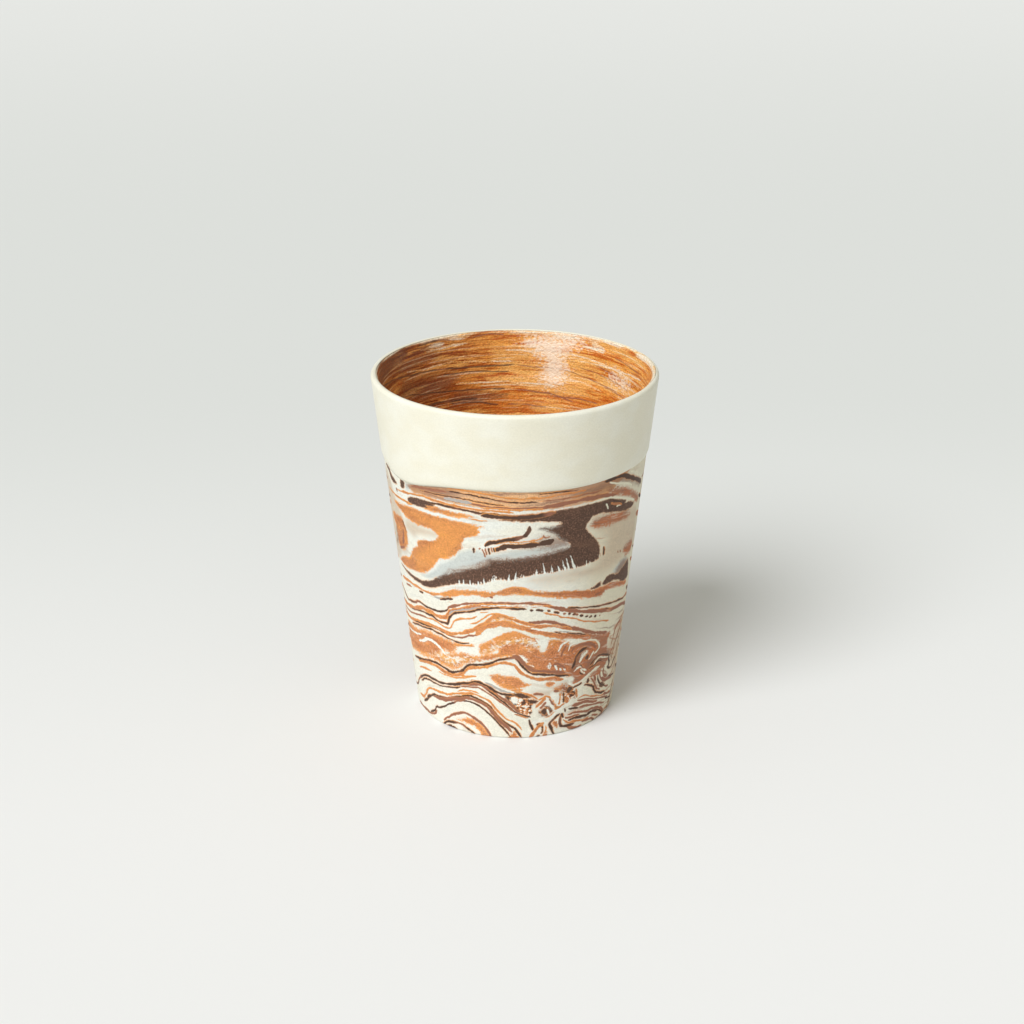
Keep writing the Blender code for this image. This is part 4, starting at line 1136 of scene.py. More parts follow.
def rounded(path, closed):
    """The path through given points, rounded and cut into short steps."""
    points = drawn_places(path)
    if closed:
        before, after = np.roll(points, 1, 0), np.roll(points, -1, 0)
        spans = range(len(points))
    else:
        before = np.vstack([points[:1], points[:-1]])
        after = np.vstack([points[1:], points[-1:]])
        spans = range(len(points) - 1)
    slopes = (after - before) * ROUNDING
    line = []
    for i in spans:
        j = (i + 1) % len(points)
        a, b = points[i], points[j]
        length = math.hypot((b[0] - a[0]) * MIDDLE_SCALE, b[1] - a[1])
        steps = max(2, math.ceil(length / STEP))
        for t in np.arange(steps) / steps:
            u = 1.0 - t
            line.append(
                a * u * u * (1 + 2 * t) + b * t * t * (1 + 2 * u)
                + slopes[i] * t * u * u - slopes[j] * t * t * u
            )
    line.append(points[0] if closed else points[-1])
    return np.array(line)


class Canvas:
    """The unrolled wall: each vertex's direction in degrees, height, and millimetres per degree."""

    def __init__(self, direction, height, scale):
        self.direction = direction
        self.height = height
        self.scale = scale

    def near(self, line, reach):
        """Vertices near a line's bounds."""
        wide = reach / FOOT_SCALE
        low, high = line.min(axis=0), line.max(axis=0)
        across = (self.direction > low[0] - wide) & (self.direction < high[0] + wide)
        level = (self.height > low[1] - reach) & (self.height < high[1] + reach)
        return np.flatnonzero(across & level)

    def distance(self, chosen, line):
        """For the chosen vertices: distance to the line, side, run along it, and reach past an end."""
        best = np.full(len(chosen), np.inf)
        side = np.ones(len(chosen))
        along = np.zeros(len(chosen))
        past = np.zeros(len(chosen))
        scale = self.scale[chosen]
        run_so_far = 0.0
        for i in range(len(line) - 1):
            ax = (line[i, 0] - self.direction[chosen]) * scale
            ay = line[i, 1] - self.height[chosen]
            dx = (line[i + 1, 0] - line[i, 0]) * scale
            dy = line[i + 1, 1] - line[i, 1]
            length = np.sqrt(dx * dx + dy * dy) + LEAST_LENGTH
            free = -(ax * dx + ay * dy) / (length * length)
            share = np.clip(free, 0.0, 1.0)
            px, py = ax + dx * share, ay + dy * share
            gap = np.hypot(px, py)
            closer = gap < best
            best = np.where(closer, gap, best)
            side = np.where(closer, np.sign(ax * dy - ay * dx), side)
            along = np.where(closer, run_so_far + share * length, along)
            over = np.zeros(len(chosen))
            if i == 0:
                over = np.maximum(over, -free * length)
            if i == len(line) - 2:
                over = np.maximum(over, (free - 1.0) * length)
            past = np.where(closer, over, past)
            run_so_far = run_so_far + length
        return best, side, along, past, run_so_far

    def patch(self, outline):
        """Signed distance to a patch's edge: positive inside."""
        field = np.full(len(self.direction), -REACH)
        line = rounded(outline, True)
        chosen = self.near(line, REACH)
        gap = self.distance(chosen, line)[0]
        inside = np.zeros(len(chosen), dtype=bool)
        x, y = self.direction[chosen], self.height[chosen]
        for a, b in zip(line[:-1], line[1:]):
            if a[1] == b[1]:
                continue
            crosses = (a[1] > y) != (b[1] > y)
            inside ^= crosses & (x < (b[0] - a[0]) * (y - a[1]) / (b[1] - a[1]) + a[0])
        field[chosen] = np.clip(np.where(inside, gap, -gap), -REACH, REACH)
        return field


# The attributes that hold the clays' signed distances
PAINTED_FIELDS = {
    "clays": ("ochre", "dark", "smear"),
    "tints": ("white", "grey", "brown"),
    "smokes": ("umber", "blush", "amber"),
    "folds": ("crackle", "haze", "gold"),
}
INNER_FIELDS = {"smokes": ("umber", "amber", "pale"), "lights": ("sheen",) * 3}


def patch_fields(canvas, patches, clays):
    """One signed field per clay, over all of its patches."""
    fields = {clay: np.full(len(canvas.direction), -REACH) for clay in clays}
    for patch in patches:
        if patch.clay not in fields:
            continue
        fields[patch.clay] = np.maximum(fields[patch.clay], canvas.patch(patch.outline) / patch.soft)
    return np.stack([fields[clay] for clay in clays], 1)


def flow_field(canvas):
    """Coordinates that follow the layers: run round the cup, and rank among the layers, in metres."""
    heights = np.stack([np.interp(canvas.direction, *drawn_places(line).T) for line in FLOW_LINES])
    heights = np.maximum.accumulate(heights + np.arange(len(FLOW_LINES))[:, None] * LEAST_LAYER, axis=0)
    ranks = heights.mean(axis=1)
    rank = np.full(len(canvas.height), ranks[0])
    for low, high, low_rank, high_rank in zip(heights[:-1], heights[1:], ranks[:-1], ranks[1:]):
        share = np.clip((canvas.height - low) / (high - low), 0.0, 1.0)
        rank = np.where(canvas.height > low, low_rank + share * (high_rank - low_rank), rank)
    front, back = np.split(rank, 2)
    angle = np.split(canvas.direction, 2)[0]
    turned = np.minimum(np.abs(angle), 180.0)
    share = np.clip((turned - JOIN[0]) / (JOIN[1] - JOIN[0]), 0.0, 1.0)
    along = np.sign(angle) * (90.0 - np.abs(turned - 90.0)) * np.split(canvas.scale, 2)[0]
    return np.stack([along, np.zeros(len(along)), front + share * (back - front)], 1) * MM


def stroke_sets(canvas, strokes):
    """Arrays of offset from the stroke, half-width and tone. Strokes that meet lie in different arrays."""
    sets = []
    for number, stroke in enumerate(strokes):
        line = rounded(stroke.path, False)
        chosen = canvas.near(line, PAINTED + PAINT_MARGIN)
        gap, side, along, past, length = canvas.distance(chosen, line)
        by = gap < PAINTED
        chosen, gap, side, along, past, length = (v[by] for v in (chosen, gap, side, along, past, length))
        ease = np.minimum(TAPER, TAPER_SHARE * length)
        taper = np.sqrt(np.clip(np.minimum(along, length - along) / ease, 0.0, 1.0))
        if stroke.pointed:
            taper = 1.0 - along / length
        swell = np.zeros(len(along))
        for rate, size, level in SWELLS:
            swell += [size * noise.noise((a * rate, number * SWELL_SEED, level)) for a in along]
        width = stroke.half_width * taper * (1.0 + SWELL * swell) - np.maximum(past, 0.0)
        for painted in sets:
            if not painted["taken"][chosen].any():
                break
        else:
            painted = {
                "taken": np.zeros(len(canvas.direction), dtype=bool),
                "values": np.tile(NO_STROKE, (len(canvas.direction), 1)),
            }
            sets.append(painted)
        painted["taken"][chosen] = True
        wander = np.array([noise.noise((a * WANDER, number * WANDER_SEED, WANDER_LEVEL)) for a in along])
        tone = TONES[stroke.clay] + TONE_WANDER.get(stroke.clay, 0.0) * np.minimum(wander, 0.0)
        painted["values"][chosen] = np.stack([gap * side, width, tone], 1)
    return [painted["values"] for painted in sets]


# The drawing's small offsets, in degrees and millimetres, which set it where the photo has it
DRAWN_TURN = 0.5
DRAWN_RISE = 0.3
LEFT_FROM = 45.0
LEFT_STRETCH = 0.05
# The same marbling, drawn out and tilted, is set on the unseen back
BACK_STRETCH = 1.24
BACK_WAVE = 3.5
BACK_WAVES = 1.5
BACK_WAVE_START = 50.0
# Between these directions the layers pass from the front's run to the back's
JOIN = (76.0, 100.0)
# Towards the joins the patches thin out, in millimetres for each degree
TAIL_FROM = 73.0
TAIL = 0.32
# What counts as under the foot, in millimetres
FOOT_EDGE = 0.3
# Rates and sizes of the small wavers of all lines
OUTER_WAVERS = ((420.0, 0.20), (1100.0, 0.10))
INNER_WAVERS = ((300.0, 0.25),)


def wavers(points, octaves):
    rows = []
    for point in map(Vector, points):
        rows.append(sum((noise.noise_vector(point * rate) * size for rate, size in octaves), Vector()))
    return np.array(rows)


def outer_canvas(mesh):
    """The wall's outside twice over: every vertex as the front has it, and then as the back has it."""
    points = places(mesh)
    angle = directions(points)
    radius = np.hypot(points[:, 0], points[:, 1]) / MM
    height = points[:, 2] / MM + DRAWN_RISE
    under = (height < FOOT_EDGE) & (radius < FOOT_RADIUS / MM - FOOT_EDGE)
    height = np.where(under, radius - FOOT_RADIUS / MM, height)
    front = angle + DRAWN_TURN + LEFT_STRETCH * np.maximum(0.0, -LEFT_FROM - angle)
    behind = angle % 360.0 - 180.0
    back_height = height + BACK_WAVE * np.sin(np.radians(behind * BACK_WAVES + BACK_WAVE_START))
    scale = np.full(len(points), math.pi / 180.0) * radius
    waver = wavers(points, OUTER_WAVERS)
    across = waver[:, 0] / scale
    direction = np.concatenate((front + across, behind / BACK_STRETCH + across))
    height = np.concatenate((height + waver[:, 1], back_height + waver[:, 1]))
    return Canvas(direction, height, np.concatenate((scale, scale * BACK_STRETCH)))


def front_half(canvas):
    """The outside as the front alone has it, all the way round."""
    halves = [np.split(values, 2)[0] for values in (canvas.direction, canvas.height, canvas.scale)]
    return Canvas(*halves)


def fuller(canvas, fields):
    """Of each vertex's two readings of the patches, the larger, with the patches' ends drawn to points."""
    tail = TAIL * np.maximum(np.abs(canvas.direction) - TAIL_FROM, 0.0)
    front, back = np.split(fields - tail[:, None], 2)
    return np.maximum(np.maximum(front, back), -REACH)


def deeper(values):
    """Of each vertex's two readings of the strokes, the one that lies further inside a stroke."""
    front, back = np.split(values, 2)
    inside = [reading[:, 1] - np.abs(reading[:, 0]) for reading in (front, back)]
    return np.where((inside[1] > inside[0])[:, None], back, front)


def inner_canvas(mesh):
    """The glaze's inside, with directions from the back."""
    points = places(mesh)
    direction = np.degrees(np.arctan2(points[:, 0], points[:, 1]))
    radius = np.hypot(points[:, 0], points[:, 1]) / MM + LEAST_RADIUS
    scale = radius * math.pi / 180.0
    waver = wavers(points, INNER_WAVERS)
    return Canvas(direction + waver[:, 0] / scale, points[:, 2] / MM + waver[:, 1], scale)


def clay_line_group():
    """Draws one array of strokes over the colour that it is given."""
    inputs = {
        "Under": "Color",
        "Line": "Vector",
        "Jitter": "Float",
        "Strength": "Float",
        "Halo": "Float",
        "Pale": "Color",
        "Ochre": "Color",
        "Glow": "Color",
    }
    tree = new_group("Clay line", "ShaderNodeTree", inputs, {"Over": "Color"})
    nodes = Nodes(tree)
    given = nodes.add("NodeGroupInput").outputs
    offset, width, tone = nodes.split(given["Line"])
    gap = nodes.math("ABSOLUTE", offset)
    inside = nodes.math("ADD", nodes.math("SUBTRACT", width, gap), given["Jitter"])
    share = nodes.math("MULTIPLY", nodes.ramp(inside, -0.12, 0.04), given["Strength"])
    drawn = nodes.ramp(width, 0.02, 0.12)
    warm = nodes.lay(given["Glow"], given["Ochre"], inside, 0.04, 0.30)
    russet = nodes.lay(given["Ochre"], RUSSET_CLAY, inside, -0.05, 0.15)
    deep = nodes.lay(BROWN_CLAY, DARK_CLAY, inside, -0.10, 0.06)
    below = nodes.math("MULTIPLY", nodes.ramp(offset, 0.02, -0.06), nodes.ramp(inside, 0.16, -0.02))
    below = nodes.math("MULTIPLY", below, nodes.math("ADD", nodes.math("MULTIPLY", given["Halo"], 0.6), 0.3))
    warm = nodes.mix(nodes.math("MULTIPLY", below, 0.75), warm, UMBER_CLAY)
    russet = nodes.mix(nodes.math("MULTIPLY", below, 0.75), russet, UMBER_CLAY)
    colour = nodes.lay(given["Pale"], ASH_CLAY, tone, -0.8, -0.7)
    colour = nodes.lay(colour, warm, tone, -0.3, -0.2)
    colour = nodes.lay(colour, russet, tone, 0.15, 0.35)
    colour = nodes.lay(colour, deep, tone, 0.55, 0.85)
    above = nodes.ramp(offset, -0.05, 0.05)
    fringe = nodes.math("MULTIPLY", nodes.ramp(inside, -0.42, -0.05), nodes.ramp(tone, 0.3, 0.8))
    fringe = nodes.math("MULTIPLY", nodes.math("MULTIPLY", fringe, drawn), given["Strength"])
    side = nodes.math("ADD", nodes.math("MULTIPLY", above, 0.50), 0.45)
    fringe = nodes.math("MULTIPLY", fringe, nodes.math("MULTIPLY", side, given["Halo"]))
    under = nodes.mix(fringe, given["Under"], given["Glow"])
    nodes.add("NodeGroupOutput", {"Over": nodes.mix(share, under, colour)})
    return tree


CLAY_LINE = clay_line_group()


BUMP_DEPTH = 0.0003
# The range that most of a noise's values lie in
NOISE_LOW = 0.3
NOISE_HIGH = 0.7


def new_material(name):
    material = bpy.data.materials.new(name)
    material.use_nodes = True
    nodes = Nodes(material.node_tree)
    shader = material.node_tree.nodes["Principled BSDF"]
    place = nodes.add("ShaderNodeTexCoord").outputs["Object"]
    return material, nodes, shader, place


def finish_material(nodes, shader, colour, roughness, height, bump):
    link = nodes.tree.links.new
    link(colour, shader.inputs["Base Color"])
    link(roughness, shader.inputs["Roughness"])
    normal = nodes.add("ShaderNodeBump", {"Height": height, "Strength": bump, "Distance": BUMP_DEPTH})
    link(normal.outputs[0], shader.inputs["Normal"])


def spread(nodes, value, low, high):
    """A noise value spread from low to high."""
    inputs = {"Value": value, "From Min": NOISE_LOW, "From Max": NOISE_HIGH, "To Min": low, "To Max": high}
    return nodes.add("ShaderNodeMapRange", inputs).outputs[0]


def draw_lines(nodes, count, colour, strength, given):
    """Draws the arrays of strokes, one over the other. The given sockets feed each array's inputs."""
    for number in range(count):
        line = nodes.add("ShaderNodeGroup", node_tree=CLAY_LINE)
        nodes.tree.links.new(colour, line.inputs["Under"])
        nodes.tree.links.new(nodes.attribute("lines_%d" % number), line.inputs["Line"])
        for name, socket in given.items():
            nodes.tree.links.new(socket, line.inputs[name])
        line.inputs["Strength"].default_value = strength
        colour = line.outputs["Over"]
    return colour


# Where the clays change, and where shade is painted on, in metres, by height or by the run round the cup
# from the front
RIGHT_HAND = (-0.006, 0.028)
COOL_ABOVE = (0.036, 0.050)
SHADED_FROM = (0.012, 0.026)
WOVEN_FROM = (-0.002, 0.014)
DULL_ABOVE = (0.040, 0.050)
FLECKED_BELOW = (0.044, 0.036)
LENS_LEFT = (-0.020, -0.012)
LENS_RIGHT = (0.012, 0.004)
VEINED_FROM = (0.010, 0.024)
VEINED_BELOW = (0.036, 0.030)
COMBED_BELOW = (0.0565, 0.0550)
COMBED_ABOVE = (0.0460, 0.0480)


def marbled_clay(line_count):
    """Cream, ochre and dark clays, told apart by the painted attributes."""
    material, nodes, shader, place = new_material("marbled clay")
    flow = nodes.attribute("flow")
    grain = nodes.noise(place, 0.00028, 1.2, 2.0)
    crumb = nodes.noise(place, 0.0008, 1.6, 3.0, 0.6)
    fold = nodes.noise(flow, 0.0022, 3.5, 4.0, 0.6)
    layer = nodes.noise(flow, 0.0016, 12.0, 2.0)
    cloud = nodes.noise(flow, 0.0045, 4.0, 3.0)
    fray = nodes.math("ADD", spread(nodes, grain, -0.30, 0.30), spread(nodes, crumb, -0.18, 0.18))
    edge = nodes.math("ADD", spread(nodes, fold, -0.20, 0.20), fray)
    ochre, dark, smear = nodes.split(nodes.attribute("clays"))
    white, grey, brown = nodes.split(nodes.attribute("tints"))
    umber, blush, amber = nodes.split(nodes.attribute("smokes"))
    crackle, haze, gold = nodes.split(nodes.attribute("folds"))
    level = nodes.split(place)[2]
    along = nodes.split(flow)[0]
    rightward = nodes.ramp(along, *RIGHT_HAND)

    pale = nodes.lay(PALE_CLAY, COOL_CLAY, level, *COOL_ABOVE)
    cream = nodes.lay(CREAM_CLAY, pale, cloud, 0.35, 0.65)
    # Painted shade: the cream and pale clays darker towards the right-hand side
    cream = nodes.lay(cream, SHADED_CREAM, along, *SHADED_FROM)
    pale = nodes.lay(pale, SHADED_PALE, along, *SHADED_FROM)
    cream = nodes.lay(cream, GREY_CLAY, fold, 0.55, 0.75, 0.25)
    cream = nodes.lay(cream, BLUSH_CLAY, layer, 0.58, 0.72, 0.35)

    # Painted shade: the ochre and its bright amber turn darker and browner towards the right-hand side, away
    # from the key light
    base = nodes.mix(rightward, OCHRE_CLAY, TERRACOTTA)
    glow = nodes.mix(rightward, AMBER_CLAY, DULL_AMBER)
    warm = nodes.lay(base, DEEP_OCHRE, fold, 0.50, 0.36, 0.6)
    warm = nodes.lay(warm, glow, fold, 0.52, 0.70, 0.6)
    warm = nodes.lay(warm, BLUSH_CLAY, layer, 0.62, 0.76, 0.40)
    weave = nodes.noise(flow, 0.0010, 7.0, 4.0, 0.6)
    woven = nodes.ramp(along, *WOVEN_FROM)
    drawn_dark = nodes.math("MULTIPLY", nodes.math("MULTIPLY", nodes.ramp(weave, 0.45, 0.34), 0.70), woven)
    drawn_pale = nodes.math("MULTIPLY", nodes.math("MULTIPLY", nodes.ramp(weave, 0.54, 0.66), 0.70), woven)
    warm = nodes.mix(drawn_dark, warm, UMBER_CLAY)
    warm = nodes.mix(drawn_pale, warm, DRAWN_PALE)
    duller = nodes.math("MULTIPLY", nodes.ramp(level, *DULL_ABOVE), 0.14)
    warm = nodes.shade(warm, nodes.math("SUBTRACT", 1.05, duller))
    body = nodes.shade(warm, spread(nodes, grain, 0.66, 1.26))
    rim = nodes.math("MULTIPLY", nodes.ramp(ochre, 0.60, 0.05), nodes.ramp(cloud, 0.34, 0.54))
    bright = nodes.math("MULTIPLY", nodes.ramp(nodes.math("ADD", amber, edge), -0.9, 0.9), 0.55)
    warm = nodes.mix(nodes.math("MAXIMUM", nodes.math("MULTIPLY", rim, 0.9), bright), body, glow)
    fleck = nodes.math("MULTIPLY", nodes.ramp(crumb, 0.56, 0.68), nodes.ramp(fold, 0.46, 0.60))
    fleck = nodes.math("MULTIPLY", fleck, nodes.ramp(level, *FLECKED_BELOW))
    warm = nodes.mix(nodes.math("MULTIPLY", fleck, 0.45), warm, pale)
    gilt = nodes.lay(GILT_CLAY, pale, crumb, 0.46, 0.56)
    gilded = nodes.math("ADD", gold, nodes.math("MULTIPLY", edge, 1.6))
    warm = nodes.lay(warm, gilt, gilded, -0.5, 0.7, 0.8)

    streak = nodes.noise(flow, 0.0009, 16.0, 4.0, 0.6)
    lens = nodes.lay(LENS_TAN, LENS_OCHRE, cloud, 0.40, 0.62)
    facing = nodes.math("MULTIPLY", nodes.ramp(along, *LENS_LEFT), nodes.ramp(along, *LENS_RIGHT))
    lens = nodes.mix(nodes.math("MULTIPLY", facing, 0.5), lens, LENS_BRIGHT)
    streaks = nodes.lay(LENS_DARK, lens, streak, 0.34, 0.50)
    streaks = nodes.lay(streaks, glow, streak, 0.54, 0.64, 0.6)
    streaks = nodes.lay(streaks, LENS_PALE, streak, 0.63, 0.72, 0.7)
    streaks = nodes.shade(streaks, spread(nodes, grain, 0.80, 1.22))

    soft_blush = nodes.ramp(nodes.math("ADD", blush, nodes.math("MULTIPLY", edge, 1.5)), -1.3, 1.3)
    colour = nodes.mix(nodes.math("MULTIPLY", soft_blush, 0.70), cream, BLUSH_CLAY)
    vein = nodes.math("PINGPONG", nodes.math("MULTIPLY", nodes.noise(flow, 0.0030, 9.0, 1.0), 5.0), 0.5)
    vein = nodes.math("MULTIPLY", nodes.ramp(vein, 0.16, 0.06), nodes.ramp(crumb, 0.30, 0.50))
    veined = nodes.math("MULTIPLY", nodes.ramp(along, *VEINED_FROM), nodes.ramp(level, *VEINED_BELOW))
    veined = nodes.math("ADD", nodes.math("MULTIPLY", veined, 0.65), nodes.ramp(cloud, 0.60, 0.80))
    vein_colour = nodes.lay(UMBER_CLAY, base, cloud, 0.40, 0.55)
    colour = nodes.mix(nodes.math("MULTIPLY", vein, veined, True), colour, vein_colour)
    colour = nodes.lay(colour, streaks, nodes.math("ADD", smear, edge), -0.4, 0.4)
    colour = nodes.lay(colour, warm, nodes.math("ADD", ochre, edge), -0.15, 0.15)
    russet = nodes.lay(BROWN_CLAY, TERRACOTTA, fold, 0.40, 0.62)
    russet = nodes.mix(drawn_dark, russet, UMBER_CLAY)
    russet = nodes.mix(drawn_pale, russet, RUSSET_PALE)
    colour = nodes.lay(colour, russet, nodes.math("ADD", brown, edge), -0.25, 0.25)
    shard = nodes.noise(place, 0.0009, 1.3, 2.0, 0.6)
    shards = nodes.lay(DARK_SHARD, base, shard, 0.45, 0.49)
    shards = nodes.lay(shards, glow, shard, 0.51, 0.54)
    shards = nodes.lay(shards, pale, shard, 0.55, 0.59)
    colour = nodes.lay(colour, shards, nodes.math("ADD", crackle, edge), -0.3, 0.3)
    colour = nodes.lay(colour, GREY_CLAY, grey, -0.6, 0.9, 0.85)
    soft_umber = nodes.ramp(nodes.math("ADD", umber, nodes.math("MULTIPLY", edge, 2.0)), -1.0, 1.0)
    colour = nodes.mix(nodes.math("MULTIPLY", soft_umber, 0.75), colour, UMBER_CLAY)
    colour = nodes.lay(colour, pale, nodes.math("ADD", white, edge), -0.2, 0.2)
    smoky = nodes.ramp(haze, -0.6, 0.6)
    comb = nodes.ramp(nodes.noise(place, 0.0022, 0.17, 1.0), 0.54, 0.72)
    combed = nodes.math("MULTIPLY", nodes.ramp(level, *COMBED_BELOW), nodes.ramp(level, *COMBED_ABOVE))
    combed = nodes.math("MULTIPLY", comb, nodes.math("MULTIPLY", combed, nodes.math("SUBTRACT", 1.0, smoky)))
    dark_edge = nodes.math("ADD", dark, nodes.math("MULTIPLY", fray, 0.8))
    dark_edge = nodes.math("SUBTRACT", dark_edge, combed)
    unsmoked = nodes.math("SUBTRACT", 0.6, smoky)
    fringe = nodes.math("MULTIPLY", nodes.ramp(dark_edge, -0.40, 0.0), unsmoked, True)
    colour = nodes.mix(fringe, colour, glow)
    deep = nodes.lay(DARK_CLAY, DARK_CLOUD, cloud, 0.45, 0.75)
    deep = nodes.lay(deep, DARK_GRAIN, grain, 0.50, 0.68, 0.75)
    sharp = nodes.ramp(dark_edge, -0.10, 0.10)
    soft = nodes.ramp(nodes.math("ADD", dark, nodes.math("MULTIPLY", edge, 1.6)), -0.9, 0.8)
    share = nodes.math("ADD", sharp, nodes.math("MULTIPLY", smoky, nodes.math("SUBTRACT", soft, sharp)))
    colour = nodes.mix(share, colour, deep)
    sockets = {
        "Jitter": nodes.math("MULTIPLY", fray, 0.35),
        "Halo": nodes.ramp(cloud, 0.36, 0.56),
        "Pale": pale,
        "Ochre": body,
        "Glow": glow,
    }
    colour = draw_lines(nodes, line_count, colour, 1.0, sockets)
    speckle = nodes.math("MULTIPLY", spread(nodes, grain, 0.90, 1.10), spread(nodes, crumb, 0.94, 1.06))
    colour = nodes.shade(colour, speckle)
    shader.inputs["Specular IOR Level"].default_value = 0.25
    finish_material(nodes, shader, colour, spread(nodes, cloud, 0.55, 0.70), grain, 0.25)
    return material


def cream_slip_coat():
    material, nodes, shader, place = new_material("cream slip")
    grain = nodes.noise(place, 0.00035, 1.2, 2.0)
    cloud = nodes.noise(place, 0.0060, 1.6, 3.0)
    colour = nodes.lay(CREAM_SLIP, PALE_SLIP, cloud, 0.35, 0.7)
    colour = nodes.shade(colour, spread(nodes, grain, 0.965, 1.03))
    shader.inputs["Specular IOR Level"].default_value = 0.35
    finish_material(nodes, shader, colour, spread(nodes, cloud, 0.42, 0.52), grain, 0.12)
    return material


GLAZE_DEEP = (0.20, 0.036, 0.004)
GLAZE_AMBER = (0.50, 0.135, 0.014)
GLAZE_GOLD = (0.93, 0.50, 0.135)
GLAZE_UMBER = (0.17, 0.075, 0.050)
GLAZE_PALE = (0.92, 0.80, 0.60)
GLAZE_SUNNY_LOW = (0.58, 0.130, 0.012)
GLAZE_SUNNY_HIGH = (0.95, 0.44, 0.080)
# The pale colour of the painted sheen on the glaze
GLAZE_GLINT = (0.97, 0.82, 0.63)
# Where painted light falls on the glaze from the left to the right, and where painted shade lies deep in the
# cup, in metres
GLAZE_SUNNY = (-0.030, 0.006)
GLAZE_DEPTH = (0.090, 0.076)


def glaze_over_clay(line_count):
    """Clear glaze over streaked amber clay, with painted light, shade and sheen laid into its colour."""
    material, nodes, shader, place = new_material("glaze over clay")
    grain = nodes.noise(place, 0.00036, 1.4, 3.0, 0.6)
    streak = nodes.noise(place, 0.0007, 14.0, 5.0, 0.7)
    band = nodes.noise(place, 0.0036, 7.0, 3.0)
    umber, amber, pale = nodes.split(nodes.attribute("smokes"))
    feather = spread(nodes, streak, -0.9, 0.9)
    sunny = nodes.ramp(nodes.split(place)[0], *GLAZE_SUNNY)
    low = nodes.mix(sunny, GLAZE_DEEP, GLAZE_SUNNY_LOW)
    high = nodes.mix(sunny, GLAZE_AMBER, GLAZE_SUNNY_HIGH)
    colour = nodes.lay(low, high, streak, 0.40, 0.56)
    # Painted shade: the glaze turns to its darker colour deep in the cup
    depth = nodes.ramp(nodes.split(place)[2], *GLAZE_DEPTH)
    colour = nodes.mix(nodes.math("MULTIPLY", depth, 0.55), colour, low)
    both = nodes.math("MULTIPLY", nodes.math("ADD", band, streak), 0.5)
    colour = nodes.lay(colour, GLAZE_GOLD, both, 0.48, 0.61)
    # Bright gold over the amber patches: the glaze's own amber, and below the sheen a painted sheen
    bright = nodes.ramp(nodes.math("ADD", amber, feather), -0.7, 0.7)
    colour = nodes.mix(nodes.math("MULTIPLY", bright, 0.7), colour, GLAZE_GOLD)
    dull = nodes.ramp(nodes.math("ADD", umber, feather), -0.6, 0.6)
    colour = nodes.mix(nodes.math("MULTIPLY", dull, 0.6), colour, GLAZE_UMBER)
    light = nodes.ramp(nodes.math("ADD", pale, nodes.math("MULTIPLY", feather, 0.6)), -0.35, 0.35)
    cream = nodes.lay(GLAZE_GOLD, GLAZE_PALE, streak, 0.40, 0.56)
    colour = nodes.mix(light, colour, cream)
    throw = nodes.noise(place, 0.0005, 44.0, 2.0, 0.5)
    colour = nodes.lay(colour, cream, throw, 0.58, 0.68, 0.50)
    colour = nodes.lay(colour, low, throw, 0.42, 0.32, 0.50)
    sockets = {"Jitter": spread(nodes, grain, -0.10, 0.14), "Pale": cream, "Ochre": colour, "Glow": colour}
    colour = draw_lines(nodes, line_count, colour, 0.80, sockets)
    colour = nodes.shade(colour, spread(nodes, grain, 0.66, 1.24))
    pebble = nodes.noise(place, 0.0006, 1.5, 2.0)
    # Painted sheen: glints of pale colour over the sheen patches, broken up by the pebbled surface
    sheen = nodes.split(nodes.attribute("lights"))[0]
    glint = nodes.ramp(nodes.math("ADD", sheen, spread(nodes, pebble, -0.9, 0.9)), -0.8, 1.2)
    colour = nodes.mix(nodes.math("MULTIPLY", glint, 0.85), colour, GLAZE_GLINT)
    shader.inputs["Coat Weight"].default_value = 0.25
    shader.inputs["Coat Roughness"].default_value = 0.22
    finish_material(nodes, shader, colour, spread(nodes, streak, 0.34, 0.44), pebble, 0.9)
    return material


def bare_clay():
    """The trimmed floor under the cup, in the same clays as the wall."""
    material, nodes, shader, place = new_material("trimmed clay")
    grain = nodes.noise(place, 0.00035, 1.2, 2.0)
    swirl_inputs = {"Vector": place, "Scale": 140.0, "Detail": 3.0, "Distortion": 2.2}
    swirl = nodes.add("ShaderNodeTexNoise", swirl_inputs).outputs[0]
    colour = nodes.lay(CREAM_CLAY, OCHRE_CLAY, swirl, 0.44, 0.48)
    colour = nodes.lay(colour, DARK_CLAY, swirl, 0.56, 0.59)
    colour = nodes.lay(colour, PALE_CLAY, swirl, 0.63, 0.65)
    colour = nodes.shade(colour, spread(nodes, grain, 0.90, 1.10))
    finish_material(nodes, shader, colour, spread(nodes, swirl, 0.55, 0.68), grain, 0.25)
    return material


# How far the fine rows reach up under the slip
SLIP_LAP = 0.002


def wall_profile():
    lip = arc(LIP_CENTRE, LIP_RADIUS, IN_ANGLE, OUT_ANGLE, LIP_STEPS)
    slip_cover = wall_point(HEIGHT - SLIP_DEPTH + SLIP_LAP)
    foot = arc(wall_point(FOOT_ROUND, FOOT_ROUND), FOOT_ROUND, OUT_ANGLE, DOWN_ANGLE, FOOT_STEPS)
    seat = Vector((SEAT_RADIUS, 0.0))
    fillet = arc(FILLET_CENTRE, FILLET, DOWN_ANGLE, OUT_ANGLE, FILLET_STEPS)
    under_slip = run(lip[-1], slip_cover, HIDDEN_ROW)
    marbled = run(slip_cover, foot[0], FINE_ROW)
    underside = run(foot[-1], seat, UNDERSIDE_ROW)
    return lip + under_slip + [slip_cover] + marbled + foot + underside + [seat] + fillet


# The slip thins out over this height to this thickness at its lower edge
EDGE_THIN = 0.0011
EDGE_COAT = 0.00012


